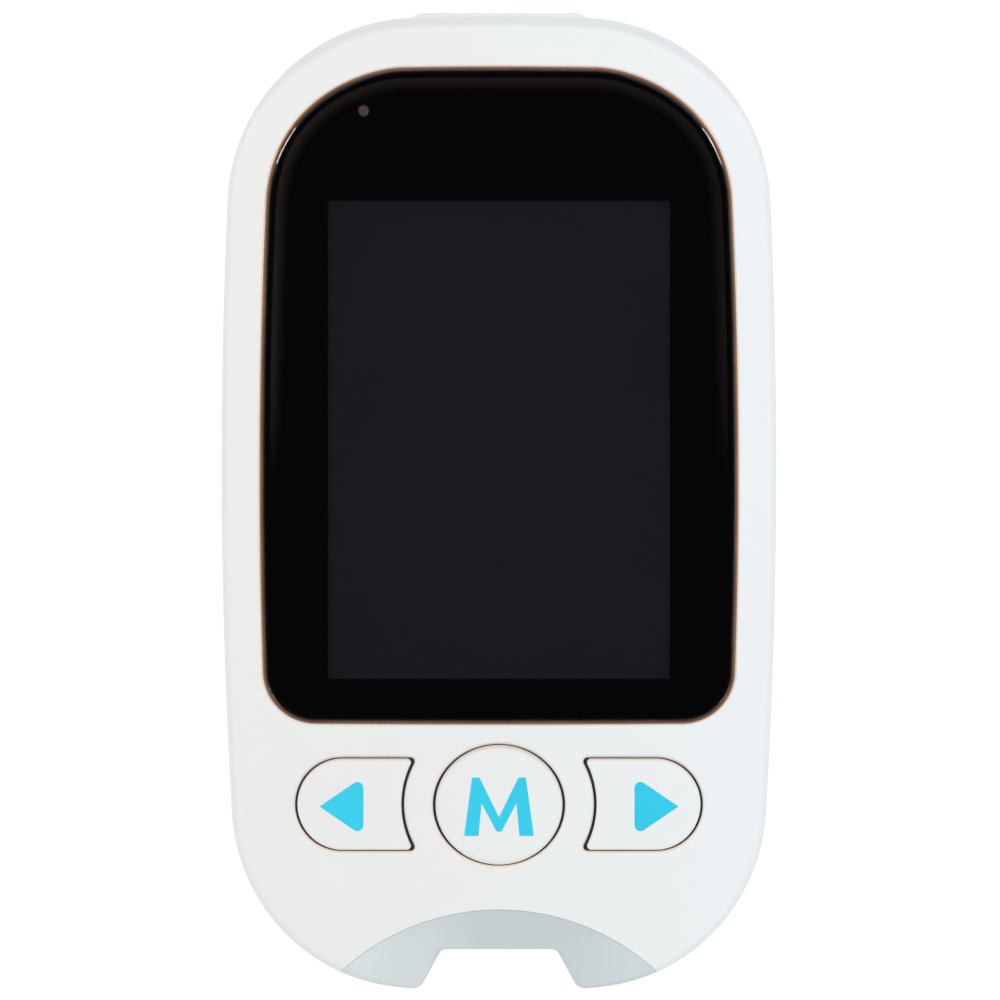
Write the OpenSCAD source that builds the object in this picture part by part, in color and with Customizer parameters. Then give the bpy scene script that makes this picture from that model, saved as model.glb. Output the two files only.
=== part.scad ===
// Blood glucose meter with a colour screen, three keys, a test strip port and two AAA cells.
// It lies on its back: +Z comes out of the screen and +Y points to the end away from the strip port.

/* [Case] */
// Width at the widest point
body_w = 55; // [53:0.1:60]
// Overall thickness, from the back to the tops of the keys
body_t = 20; // [19.6:0.1:24]
// Height of the widest point above the middle
side_y = 3.55; // [-5:0.05:10]
// Radius of the long sides
side_r = 586.6; // [300:1:1500]
// Middle to the top end
top_reach = 48; // [46:0.1:54]
// Radius of the top end
top_r = 190; // [100:1:400]
// Radius of the top corners
top_corner_r = 18.9; // [15:0.1:21]
// Middle to the bottom end before the notch is cut
bottom_reach = 48.7; // [47:0.1:54]
// Radius of the bottom end
bottom_r = 98; // [70:1:300]
// Radius of the bottom corners
bottom_corner_r = 18.25; // [15:0.1:21]
// Wall thickness
wall = 1.8; // [1.4:0.1:2.2]
// Thickness of the front face
roof_t = 1.9; // [1.6:0.1:2.4]
// Thickness of the back face
floor_t = 1.8; // [1.4:0.1:2.2]
// Height of the seam between the two shells
seam_z = 10; // [9.4:0.1:11]
// How far the top end leans in towards the front face
top_lean = 0.85; // [0:0.05:1.5]
// How far the long sides lean in towards the front face
side_lean = 0.15; // [0:0.05:0.5]
// Rounding of the front edge
front_edge = 0.75; // [0.3:0.05:1.2]
// Rounding of the back edge
back_edge = 3.4; // [2:0.1:4]
// Height over which the back edge rounds
back_edge_h = 5; // [3:0.1:6]
// Height of the locating tongue on the seam
tongue_h = 1.1; // [0.6:0.1:1.6]
// Gap between two pieces of the case that meet
seam_gap = 0.06; // [0.03:0.01:0.15]

/* [Screen lens and trim] */
// Half width of the trim ring
lens_hw = 23.69; // [21:0.01:24.5]
// Height of the widest point of the trim
lens_side_y = 1.9; // [-4:0.1:8]
// Radius of the trim's long sides
lens_side_r = 596.8; // [300:1:1500]
// White border above the trim
top_border = 5.13; // [4.5:0.01:6]
// Radius of the trim's top
lens_top_r = 549; // [200:1:1500]
// Where the trim's top starts to turn down
lens_shoulder_x = 9.46; // [6:0.01:12]
// Reach of the shoulder of the turn
lens_shoulder_l = 4.2; // [3:0.1:6]
// Where the trim's long side starts to turn in
lens_corner_y = 29.5; // [26:0.1:32]
// Reach of the lower part of the turn
lens_corner_l = 9.95; // [7:0.05:11]
// Middle to the trim's bottom
lens_bottom = 22.53; // [21:0.01:23]
// Radius of the trim's bottom
lens_bottom_r = 421; // [200:1:900]
// Radius of the trim's bottom corners
lens_bottom_corner_r = 5.3; // [3.5:0.1:7]
// Visible width of the trim ring
trim_w = 0.45; // [0.3:0.01:0.8]
// Depth of the seat for the lens
recess_d = 1.2; // [1:0.05:1.4]
// Thickness of the printed black sheet under the lens
mask_t = 0.15; // [0.1:0.01:0.25]
// How far the lens stands above the front face
lens_proud = 0.18; // [0:0.01:0.25]
// Bevel on the lens edge
lens_bevel = 0.2; // [0.1:0.01:0.3]
// Gap around the lens and the trim
lens_gap = 0.03; // [0.02:0.01:0.06]

/* [Display] */
// Width of the visible window
window_w = 33.8; // [30:0.1:35]
// Height of the visible window
window_h = 47.3; // [44:0.1:48]
// Middle of the window above the middle of the case
window_y = 5.95; // [5:0.05:7]
// Module width beyond the window on each side
module_side = 2.6; // [2:0.1:2.8]
// Module height beyond the window at the top
module_top = 3; // [2.4:0.1:3.2]
// Module height beyond the window at the bottom
module_bottom = 4.3; // [3.6:0.1:4.6]
// Thickness of the glass panel
panel_t = 1.1; // [0.8:0.1:1.3]
// Thickness of the foam gasket
gasket_t = 0.4; // [0.3:0.05:0.6]
// Width of the foam gasket
gasket_w = 1.3; // [1:0.1:1.6]
// Rim of the backlight frame around the panel
frame_rim = 1; // [0.8:0.1:1.2]
// Width of the display ribbon
flex_w = 12; // [8:0.5:14]
// Thickness of the display ribbon
flex_t = 0.15; // [0.1:0.01:0.2]

/* [Status light] */
// Across from the middle
led_x = -13.4; // [-13.6:0.1:-12]
// Below the top of the trim
led_down = 4.37; // [4:0.01:5]
// Radius of the light rod
guide_r = 0.55; // [0.4:0.01:0.6]
// Radius of the clear dot in the black sheet
led_dot_r = 0.6; // [0.5:0.01:0.8]
// Thickness of the light's chip
led_t = 0.7; // [0.5:0.05:0.9]

/* [Keys] */
// Row of the keys, along from the middle
key_y = -30.2; // [-30.6:0.05:-30]
// Half width of the middle key's opening
mid_key_a = 6.55; // [6.2:0.01:6.8]
// Half height of the middle key's opening
mid_key_b = 6.09; // [5.8:0.01:6.3]
// Middle of a side key's round end
side_key_x = 15.4; // [15:0.05:15.8]
// Radius of a side key's round end
side_key_r = 4.7; // [4.4:0.01:4.9]
// Middle of the hollow side of a side key
side_key_hollow_x = 1.5; // [1:0.05:2]
// Radius of the hollow side
side_key_hollow_r = 8.2; // [7.9:0.01:8.4]
// Radius of the two sharp corners
side_key_tip_r = 0.4; // [0.2:0.01:0.6]
// Gap around each key
key_gap = 0.28; // [0.25:0.01:0.4]
// Bevel on a key's top
key_bevel = 0.22; // [0.1:0.01:0.3]
// How far a key stands above the front face
key_proud = 0.3; // [0.1:0.05:0.6]
// Width of the rim that holds a key in
key_rim_w = 0.7; // [0.4:0.05:0.8]
// Thickness of that rim
key_rim_t = 0.8; // [0.6:0.05:1]
// Space between the rim and the front face at rest
key_lift = 0.3; // [0.25:0.01:0.4]
// Travel of a key
key_travel = 0.4; // [0.2:0.05:0.45]
// Depth of the printed signs
sign_t = 0.3; // [0.2:0.05:0.5]
// Radius of a rubber pad
pad_r = 2.1; // [1.6:0.1:2.6]
// Radius of a snap dome
dome_r = 2.5; // [2:0.1:3]
// Height of a snap dome
dome_h = 0.55; // [0.5:0.01:0.6]

/* [Batteries and their door] */
// Diameter of a cell
cell_d = 10.5; // [10.3:0.1:10.6]
// Length of a cell with its button
cell_l = 44.5; // [43.5:0.1:44.6]
// Radius of the button
cell_button_r = 2.6; // [2:0.1:3]
// Height of the button
cell_button_h = 1; // [0.8:0.1:1.3]
// Gap between the two cells
cell_gap = 0.7; // [0.5:0.1:1.2]
// Space around the cells in their bay
cell_clear = 0.3; // [0.2:0.05:0.4]
// Lower end of the bay
bay_y = -9; // [-9.6:0.1:-8.4]
// Wall of the bay
bay_wall = 1; // [0.8:0.1:1.2]
// Thickness of the contact plates
plate_t = 0.4; // [0.3:0.05:0.5]
// Length of the contact springs when loaded
spring_l = 3; // [2.6:0.1:3.4]
// Radius of the springs
spring_r = 2.6; // [2:0.1:3.2]
// Wire radius of the springs
wire_r = 0.3; // [0.2:0.05:0.4]
// Thickness of the door
door_t = 1.4; // [1.2:0.05:1.6]
// Half width of the door
door_hw = 12.6; // [12.4:0.1:13.2]
// Height of the door's end wall
door_end_h = 8; // [7:0.1:8.4]
// Hinge line, along from the middle
hinge_y = -13.2; // [-14.5:0.1:-12.4]
// Radius of the hinge bead
bead_r = 0.75; // [0.7:0.01:0.85]
// Radius of the hinge pins
pin_r = 0.5; // [0.4:0.01:0.5]
// Length of the hinge pins
pin_l = 1.5; // [1:0.1:2]
// Running clearance of the hinge pins
pin_clear = 0.05; // [0.03:0.01:0.08]
// Gap around the door
door_gap = 0.3; // [0.25:0.01:0.35]
// Half width of the door's finger lip
lip_hw = 7.6; // [6:0.1:9]
// How far the lip stands out
lip_out = 0.35; // [0.2:0.01:0.8]
// Height of the lip above the back
lip_z = 4; // [3.6:0.1:4.6]
// Thickness of the lip
lip_t = 3; // [2:0.1:3.2]
// Length of the blank rating label
label_l = 34; // [20:1:38]
// Width of the blank rating label
label_w = 20; // [14:1:22]
// Thickness of the label
label_t = 0.1; // [0.08:0.01:0.15]
// Width of the grip grooves
grip_w = 13; // [8:0.5:18]
// Depth of the grip grooves
grip_d = 0.35; // [0.2:0.05:0.5]

/* [Strip port] */
// Middle of the grey piece's arch, along from the middle
arch_y = -63.6; // [-64.5:0.1:-63]
// Radius of the arch
arch_r = 23.05; // [22.6:0.01:23.3]
// Depth of the dish towards the port
dish_d = 0.8; // [0.3:0.05:1]
// Radius of the dish
dish_r = 95; // [80:1:150]
// Bottom of the notch, along from the middle
notch_y = -44.45; // [-44.7:0.01:-44.2]
// Half width of the notch at its bottom
notch_hw = 5.68; // [5.4:0.01:6.2]
// Slope of the notch's sides
notch_slope = 28.6; // [20:0.1:35]
// Radius in the notch's corners
notch_fillet = 0.85; // [0.4:0.01:1.2]
// Radius of the two toes beside the notch
toe_r = 1.3; // [0.9:0.01:1.6]
// Wall around the notch
notch_wall = 1.5; // [1.2:0.1:1.8]
// Width of the strip slot
slot_w = 7.4; // [6.4:0.1:8]
// Height of the strip slot
slot_h = 1.3; // [1:0.05:1.4]
// Width of the strip connector
socket_w = 11.2; // [10:0.1:12]
// Length of the strip connector
socket_l = 10; // [9.4:0.1:11]

/* [Strip ejector] */
// Travel of the ejector
eject_travel = 4.5; // [3:0.1:4.8]
// Rest place of the stem's rear, along from the middle
eject_y = -33.2; // [-33.6:0.1:-33]
// Length of the stem
stem_l = 2.4; // [2:0.1:2.8]
// Width of the stem
stem_w = 2.4; // [2:0.1:3]
// Thumb pad width
thumb_w = 10.6; // [8:0.1:11]
// Thumb pad length
thumb_l = 6.4; // [5:0.1:6.6]
// Thumb pad thickness
thumb_t = 0.9; // [0.7:0.05:1]
// Radius of the return spring
return_r = 1.5; // [1.2:0.1:1.6]

/* [Circuit board] */
// Thickness of the board
board_t = 1; // [0.8:0.1:1]
// Space between the bay and the board
board_gap = 0.5; // [0.4:0.05:0.6]
// Gap between the board and the walls
board_clear = 1; // [0.6:0.1:1.6]

// Width of the microcontroller
chip_w = 8; // [6:0.5:8]
// Length of the radio module
radio_l = 12.5; // [10:0.5:13]
// Width of the radio module
radio_w = 9; // [8:0.5:10]
// Width of the memory chip
memory_w = 5; // [4:0.5:5]
// Radius of the buzzer
buzzer_r = 4; // [3:0.1:4.2]
// Height of the buzzer
buzzer_h = 2.6; // [2:0.1:2.8]
// Radius of the sound holes in the back
sound_r = 0.5; // [0.4:0.05:0.6]
// Radius of the buzzer's mouth
buzzer_mouth_r = 0.9; // [0.6:0.1:1.2]
// Row of the chips below the bay
chip_row = 5; // [4.6:0.1:6]

/* [Screws] */
// Top pair, across from the middle
screw_top_x = 16.8; // [16.7:0.1:17.4]
// Top pair, along from the middle
screw_top_y = 37; // [36.6:0.1:37.4]
// Bottom pair, across from the middle
screw_low_x = 17.8; // [17.6:0.1:18]
// Bottom pair, along from the middle
screw_low_y = -38; // [-38.3:0.1:-37.9]
// Radius of the thread
screw_r = 1; // [0.8:0.05:1.1]
// Radius of the head
head_r = 1.8; // [1.6:0.05:1.9]
// Thickness of the head
head_t = 1.4; // [1:0.1:1.6]
// Depth of the head below the back
head_sink = 1.4; // [1:0.1:2]
// Length of the thread
thread_l = 11; // [9:0.5:12]
// Radius of a screw post
post_r = 2.2; // [2.1:0.05:2.3]

/* [Hidden] */
$fn = 64;
cut = 0.02;
lens_top = top_reach - top_border;
led_y = lens_top - led_down;
face_z = body_t - key_proud;
roof_z = face_z - roof_t;
recess_z = face_z - recess_d;
lens_z = recess_z + mask_t;
lens_top_z = face_z + lens_proud;
cell_z = door_t + cell_clear + cell_d / 2;
bay_top_in = cell_z + cell_d / 2 + cell_clear;
bay_top = bay_top_in + bay_wall;
board_z = bay_top + board_gap;
board_top = board_z + board_t;
cell_x = (cell_d + cell_gap) / 2;
bay_hw = cell_x + cell_d / 2 + cell_clear;
bay_l = cell_l + spring_l + 2 * plate_t;
bay_end = bay_y + bay_l;
gasket_z = roof_z - gasket_t;
panel_z = gasket_z - panel_t;
module_w = window_w + 2 * module_side;
module_y0 = window_y - window_h / 2 - module_bottom;
module_y1 = window_y + window_h / 2 + module_top;
rim_z = roof_z - key_lift;
pad_z = rim_z - key_rim_t;
dome_top = board_top + dome_h;
pad_gap = 0.05;
hinge_z = bead_r;
door_open_hw = door_hw + door_gap;
slot_z = board_z - 2.25;
socket_z = slot_z - 0.5;
socket_y = notch_y + notch_wall + 0.1;
strip_z = slot_z + slot_h / 2;
buzzer_x = screw_low_x - post_r - buzzer_r;
buzzer_y = key_y - 2;
thumb_z = 0.1;
pad_floor = thumb_z + thumb_t + door_gap;
guide_top = pad_floor + 1.1;
collar_z = guide_top + door_gap;
collar_top = collar_z + 3.6;
side_screws = [[screw_top_x, screw_top_y], [-screw_top_x, screw_top_y],
    [screw_low_x, screw_low_y], [-screw_low_x, screw_low_y]];

// Rounding of the back edge, as height and inset shares of back_edge_h and back_edge
back_steps = [[0, 1], [0.09, 0.574], [0.24, 0.294], [0.48, 0.103], [0.76, 0.015], [1, 0]];

// A point at distance a from p and b from q, on the left of the way from p to q
function meet(p, a, q, b) =
    let (d = q - p, l = norm(d), u = (a * a - b * b + l * l) / (2 * l), h = sqrt(max(0, a * a - u * u)))
    p + d / l * u + h * [-d[1], d[0]] / l;
function angle_of(v) = atan2(v[1], v[0]);
function arc_run(c, r, a0, a1, n) =
    [for (i = [0:n - 1]) let (a = a0 + (a1 - a0) * i / n) [c[0] + r * cos(a), c[1] + r * sin(a), cos(a), sin(a)]];
function mirrored(half, top) =
    concat(half, [[0, top, 0, 1]], [for (i = [len(half) - 1:-1:1]) [-half[i][0], half[i][1], -half[i][2], half[i][3]]]);

// The case outline as [x, y, normal x, normal y]
side_c = [body_w / 2 - side_r, side_y];
top_c = [0, top_reach - top_r];
bottom_c = [0, bottom_r - bottom_reach];
top_corner_c = meet(side_c, side_r - top_corner_r, top_c, top_r - top_corner_r);
bottom_corner_c = meet(bottom_c, bottom_r - bottom_corner_r, side_c, side_r - bottom_corner_r);
case_half = concat(
    arc_run(bottom_c, bottom_r, -90, angle_of(bottom_corner_c - bottom_c), 3),
    arc_run(bottom_corner_c, bottom_corner_r, angle_of(bottom_corner_c - bottom_c),
        angle_of(bottom_corner_c - side_c), 10),
    arc_run(side_c, side_r, angle_of(bottom_corner_c - side_c), angle_of(top_corner_c - side_c), 4),
    arc_run(top_corner_c, top_corner_r, angle_of(top_corner_c - side_c), angle_of(top_corner_c - top_c), 10),
    arc_run(top_c, top_r, angle_of(top_corner_c - top_c), 90, 3));
case_line = mirrored(case_half, top_reach);

// The trim outline in the same form
lens_side_c = [lens_hw - lens_side_r, lens_side_y];
lens_bottom_c = [0, lens_bottom_r - lens_bottom];
lens_corner_c = meet(lens_bottom_c, lens_bottom_r - lens_bottom_corner_r,
    lens_side_c, lens_side_r - lens_bottom_corner_r);
lens_side_a = asin((lens_corner_y - lens_side_y) / lens_side_r);
lens_top_a = acos(lens_shoulder_x / lens_top_r);
turn_p = [[lens_side_c[0] + lens_side_r * cos(lens_side_a), lens_corner_y],
    [lens_shoulder_x, lens_top - lens_top_r + lens_top_r * sin(lens_top_a)]];
turn_c = [turn_p[0] + lens_corner_l * [-sin(lens_side_a), cos(lens_side_a)],
    turn_p[1] + lens_shoulder_l * [sin(lens_top_a), -cos(lens_top_a)]];
function turn_at(t) = pow(1 - t, 3) * turn_p[0] + 3 * pow(1 - t, 2) * t * turn_c[0]
    + 3 * (1 - t) * t * t * turn_c[1] + pow(t, 3) * turn_p[1];
function turn_way(t) = 3 * pow(1 - t, 2) * (turn_c[0] - turn_p[0]) + 6 * (1 - t) * t * (turn_c[1] - turn_c[0])
    + 3 * t * t * (turn_p[1] - turn_c[1]);
lens_half = concat(
    arc_run(lens_bottom_c, lens_bottom_r, -90, angle_of(lens_corner_c - lens_bottom_c), 2),
    arc_run(lens_corner_c, lens_bottom_corner_r, angle_of(lens_corner_c - lens_bottom_c),
        angle_of(lens_corner_c - lens_side_c), 7),
    arc_run(lens_side_c, lens_side_r, angle_of(lens_corner_c - lens_side_c), lens_side_a, 4),
    [for (i = [0:13]) let (t = i / 14, p = turn_at(t), w = turn_way(t) / norm(turn_way(t))) [p[0], p[1], w[1], -w[0]]],
    arc_run([0, lens_top - lens_top_r], lens_top_r, lens_top_a, 90, 2));
lens_line = mirrored(lens_half, lens_top);

function inset(line, d) = [for (p = line) [p[0] - d * p[2], p[1] - d * p[3]]];
function ring(line, d, z) = [for (p = line) [p[0] - d * p[2], p[1] - d * p[3], z]];
// The lean grows from nothing at the bottom through the sides to its full share at the top end
function smooth(x) = let (s = min(1, max(0, x))) s * s * (3 - 2 * s);
function lean_at(n) = n < 0 ? side_lean * (1 + n) : side_lean + (top_lean - side_lean) * smooth((n - 0.45) / 0.45);
function lean_ring(line, d, share, z) =
    [for (p = line) let (e = d + share * lean_at(p[3])) [p[0] - e * p[2], p[1] - e * p[3], z]];

// A closed solid through rings of equal point count, from the lowest ring up
module loft(rings) {
    n = len(rings[0]);
    m = len(rings);
    polyhedron(
        points = [for (r = rings) for (p = r) p],
        faces = concat(
            [[for (i = [0:n - 1]) i]],
            [for (k = [0:m - 2]) for (i = [0:n - 1])
                let (j = (i + 1) % n) each [[k * n + i, (k + 1) * n + i, (k + 1) * n + j],
                    [k * n + i, (k + 1) * n + j, k * n + j]]],
            [[for (i = [n - 1:-1:0]) (m - 1) * n + i]]),
        convexity = 6);
}

module plate(points, z0, z1) {
    translate([0, 0, z0]) linear_extrude(height = z1 - z0) polygon(points);
}

module block(x0, x1, y0, y1, z0, z1) {
    translate([x0, y0, z0]) cube([x1 - x0, y1 - y0, z1 - z0]);
}

module rod_x(x0, x1, y, z, r) {
    translate([x0, y, z]) rotate([0, 90, 0]) cylinder(h = x1 - x0, r = r);
}

module rod_y(x, y0, y1, z, r) {
    translate([x, y0, z]) rotate([-90, 0, 0]) cylinder(h = y1 - y0, r = r);
}

module rod_z(x, y, z0, z1, r) {
    translate([x, y, z0]) cylinder(h = z1 - z0, r = r);
}

// The outer form of each half, and the hollow inside it
module rear_form(t) {
    loft(concat([for (s = back_steps) ring(case_line, t + back_edge * s[1], t + (back_edge_h - t) * s[0])],
        [ring(case_line, t, seam_z + (t > 0 ? cut : 0))]));
}

module front_form() {
    loft([ring(case_line, 0, seam_z),
        lean_ring(case_line, 0, 1, face_z - 1.1),
        lean_ring(case_line, front_edge * 0.22, 1, face_z - 0.5),
        lean_ring(case_line, front_edge * 0.56, 1, face_z - 0.15),
        lean_ring(case_line, front_edge, 1, face_z)]);
}

module front_hollow() {
    loft([ring(case_line, wall, seam_z - cut),
        lean_ring(case_line, wall, 1, roof_z - 0.9),
        lean_ring(case_line, wall + 0.8, 1, roof_z)]);
}

// The notch as an outline grown by g, from its bottom out past the end of the case
flank = [sin(notch_slope), -cos(notch_slope)];
flank_n = [cos(notch_slope), sin(notch_slope)];
function notch_half(g) =
    let (f = notch_fillet + g, r = toe_r - g, y = notch_y + g,
        edge = [notch_hw, notch_y] + g * flank_n,
        corner = edge + flank * ((edge[1] - y) / cos(notch_slope)),
        fc = corner + f * [-(1 - sin(notch_slope)) / cos(notch_slope), -1],
        a = notch_slope)
    concat([for (i = [0:5]) let (b = 90 - (90 - a) * i / 5) fc + f * [cos(b), sin(b)]]);
// A toe is a round between the notch's side and the end of the case
toe_p = [notch_hw, notch_y] + toe_r * flank_n;
toe_q = toe_p - bottom_c;
toe_s = let (b = toe_q * flank, c = toe_q * toe_q - pow(bottom_r - toe_r, 2)) -b + sqrt(b * b - c);
toe_c = toe_p + toe_s * flank;
toe_end = angle_of(toe_c - bottom_c) + 360;
toe_run = [for (i = [0:6]) let (a = 180 + notch_slope + (toe_end - 12 - 180 - notch_slope) * i / 6)
    toe_c + toe_r * [cos(a), sin(a)]];
toe_out = toe_run[6] + 8 * [cos(toe_end - 12), sin(toe_end - 12)];
notch_right = concat(notch_half(0), toe_run, [toe_out]);
notch_line = concat(notch_right, [for (i = [len(notch_right) - 1:-1:0]) [-notch_right[i][0], notch_right[i][1]]]);
wall_right = concat(notch_half(notch_wall), [[notch_hw, notch_y] + notch_wall * flank_n + 12 * flank]);
wall_line = concat(wall_right, [for (i = [len(wall_right) - 1:-1:0]) [-wall_right[i][0], wall_right[i][1]]]);

module notch_cut() {
    plate(notch_line, -1, body_t + 1);
}

module notch_wall_block(z0, z1) {
    plate(wall_line, z0, z1);
}

module arch(grow, z0, z1) {
    translate([0, arch_y, z0]) cylinder(h = z1 - z0, r = arch_r + grow, $fn = 128);
}

// Key outlines, shrunk by g
function mid_key(g) = [for (i = [0:47]) [(mid_key_a - g) * cos(i * 7.5), key_y + (mid_key_b - g) * sin(i * 7.5)]];
function side_key_top(g) =
    let (r = side_key_tip_r, h = side_key_r - g, rr = side_key_hollow_r + g,
        cx = side_key_hollow_x + sqrt(pow(rr + r, 2) - pow(h - r, 2)),
        c = [cx, h - r],
        phi = atan2(h - r, cx - side_key_hollow_x))
    concat([for (i = [0:11]) let (a = 90 * i / 12) [side_key_x + h * cos(a), h * sin(a)]],
        [[side_key_x, h]],
        [for (i = [0:4]) let (a = 90 + (90 + phi) * i / 4) c + r * [cos(a), sin(a)]],
        [for (i = [1:5]) let (a = phi * (1 - i / 6)) [side_key_hollow_x + rr * cos(a), rr * sin(a)]]);
function side_key(g) =
    let (top = side_key_top(g))
    [for (p = concat(top, [[side_key_hollow_x + side_key_hollow_r + g, 0]],
        [for (i = [len(top) - 1:-1:1]) [top[i][0], -top[i][1]]])) [p[0], key_y + p[1]]];
function flip(points) = [for (i = [len(points) - 1:-1:0]) [-points[i][0], points[i][1]]];

// Signs on the keys
arrow_r = 0.6;
arrow_tip = [17.75, 0];
arrow_base = [13.4, 2.98];
arrow_drop = 0.12;
arrow_slope = atan2(arrow_base[1], arrow_tip[0] - arrow_base[0]);
arrow_corner = [arrow_base[0] + arrow_r,
    arrow_base[1] - arrow_r * (1 + sin(arrow_slope)) / cos(arrow_slope)];
arrow_half = [for (i = [0:5]) let (a = 180 - (90 + arrow_slope) * i / 5)
    arrow_corner + arrow_r * [cos(a), sin(a)]];
arrow = [for (p = concat(arrow_half, [arrow_tip], [for (i = [5:-1:0]) [arrow_half[i][0], -arrow_half[i][1]]]))
    [p[0], key_y - arrow_drop + p[1]]];
letter_half = [[0.25, -2.6], [1.72, 0.18], [2.02, -3.03], [3.45, -3.03], [2.66, 2.76], [1.93, 2.76]];
letter_m = [for (p = concat(letter_half, [[0, -1.16]], [for (i = [5:-1:0]) [-letter_half[i][0], letter_half[i][1]]]))
    [p[0], key_y + p[1]]];

module key_body(top, mid, rim) {
    loft([[for (p = mid) [p[0], p[1], rim_z - cut]],
        [for (p = mid) [p[0], p[1], body_t - key_bevel]],
        [for (p = top) [p[0], p[1], body_t]]]);
    plate(rim, pad_z, rim_z);
}

module key_pad(x) {
    rod_z(x, key_y, dome_top + pad_gap, pad_z, pad_r);
}

module snap_dome(x) {
    translate([x, key_y, board_top]) difference() {
        union() {
            cylinder(h = 0.12, r = dome_r);
            cylinder(h = dome_h, r1 = dome_r - 0.3, r2 = dome_r * 0.55);
        }
        translate([0, 0, -cut]) cylinder(h = dome_h - 0.15, r1 = dome_r - 0.55, r2 = dome_r * 0.5);
    }
}

module coil(r, l, turns) {
    // A coil drawn as closed turns on a thin bar, with its first turn sunk a little into z = 0
    for (i = [0:turns - 1]) {
        translate([0, 0, wire_r * 0.8 + (l - 1.8 * wire_r) * i / (turns - 1)]) rotate_extrude() {
            translate([r - wire_r, 0]) circle(r = wire_r, $fn = 16);
        }
    }
    translate([r - wire_r, 0, 0]) cylinder(h = l - wire_r, r = wire_r * 0.8, $fn = 16);
}

module bore_holes(r, z0, z1) {
    for (s = side_screws) {
        rod_z(s[0], s[1], z0, z1, r);
    }
}

// ---- the case ----

module rear_shell() {
    color([0.93, 0.93, 0.92]) difference() {
        union() {
            difference() {
                rear_form(0);
                difference() {
                    rear_form(floor_t);
                    notch_wall_block(0, seam_z + 1);
                    bore_holes(post_r + 0.2, 0, seam_z + 1);
                    // A stiff frame round the door opening
                    block(-door_open_hw - 1, door_open_hw + 1, hinge_y - 2.4, bay_end + bay_wall, 0, door_t + 1.8);
                    block(-door_open_hw - 1, door_open_hw + 1, bay_end, top_reach, 0, seam_z + 1);
                    // The ejector's guide
                    block(-thumb_w / 2 - 1, thumb_w / 2 + 1, notch_y, eject_y + 4, 0, guide_top);
                }
            }
            // Locating tongue
            difference() {
                plate(inset(case_line, wall / 2 + seam_gap), seam_z - cut, seam_z + tongue_h);
                plate(inset(case_line, wall), seam_z - 1, seam_z + tongue_h + 1);
                arch(1.5, seam_z - 1, seam_z + tongue_h + 1);
            }
            // Battery bay
            block(-bay_hw - bay_wall, bay_hw + bay_wall, bay_y - bay_wall, bay_end + bay_wall, floor_t, bay_top);
            for (x = [-8, 8]) {
                for (y = [bay_y, bay_end - 2]) {
                    block(x - 1, x + 1, y, y + 2, bay_top - cut, board_z);
                }
            }
        }
        notch_cut();
        // The bay, open to the back under the door
        block(-bay_hw, bay_hw, bay_y, bay_end, -1, bay_top_in);
        block(-door_open_hw, door_open_hw, hinge_y, bay_end + bay_wall + cut, -1, door_t + cut);
        block(-bay_hw, bay_hw, bay_y, bay_end, door_t, door_t + 2);
        block(-door_open_hw, door_open_hw, bay_end + bay_wall, top_reach + 4, -1, door_end_h + door_gap);
        block(-door_open_hw, door_open_hw, hinge_y, bay_end + bay_wall + cut, door_t, door_t + door_gap);
        // The hinge's groove and bores
        rod_x(-door_open_hw, door_open_hw, hinge_y, hinge_z, bead_r + door_gap);
        rod_x(-door_hw - pin_l - 0.2, door_hw + pin_l + 0.2, hinge_y, hinge_z, pin_r + pin_clear);
        // Screws
        bore_holes(head_r + 0.3, -1, head_sink + head_t);
        bore_holes(screw_r + 0.15, 0, seam_z + 1);
        // Contact tabs pass the bay's ceiling
        for (x = [-cell_x, cell_x]) {
            block(x - 1.3, x + 1.3, bay_y - cut, bay_y + plate_t + 0.2, bay_top_in - cut, bay_top + cut);
        }
        // Sound holes under the buzzer
        for (a = [0:60:300]) {
            rod_z(buzzer_x + 1.7 * cos(a), buzzer_y + 1.7 * sin(a), -1, floor_t + 1, sound_r);
        }
        // The ejector
        block(-thumb_w / 2 - door_gap, thumb_w / 2 + door_gap, eject_y - stem_l / 2 - thumb_l / 2 - eject_travel - door_gap,
            eject_y - stem_l / 2 + thumb_l / 2 + door_gap, -1, pad_floor);
        block(-stem_w / 2 - door_gap, stem_w / 2 + door_gap, eject_y - stem_l - eject_travel - door_gap,
            eject_y + door_gap, 0, guide_top + 1);
    }
}

module front_shell() {
    color([0.93, 0.93, 0.92]) difference() {
        front_form();
        difference() {
            front_hollow();
            bore_holes(post_r, seam_z, face_z);
        }
        bore_holes(screw_r - 0.1, seam_z - 1, head_sink + head_t + thread_l + 0.6);
        // Rebate for the rear shell's tongue
        plate(inset(case_line, wall / 2), seam_z - cut, seam_z + tongue_h + seam_gap);
        // Seat of the lens and the opening behind it
        plate(inset(lens_line, -lens_gap), recess_z, face_z + 1);
        block(-window_w / 2 - 1, window_w / 2 + 1, window_y - window_h / 2 - 1, window_y + window_h / 2 + 1,
            roof_z - 1, recess_z + cut);
        rod_z(led_x, led_y, roof_z - 1, recess_z + cut, guide_r + 0.1);
        // Keys
        plate(mid_key(0), roof_z - 1, face_z + 1);
        plate(side_key(0), roof_z - 1, face_z + 1);
        plate(flip(side_key(0)), roof_z - 1, face_z + 1);
        arch(seam_gap, seam_z - 1, face_z + 1);
        notch_cut();
    }
}

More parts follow.
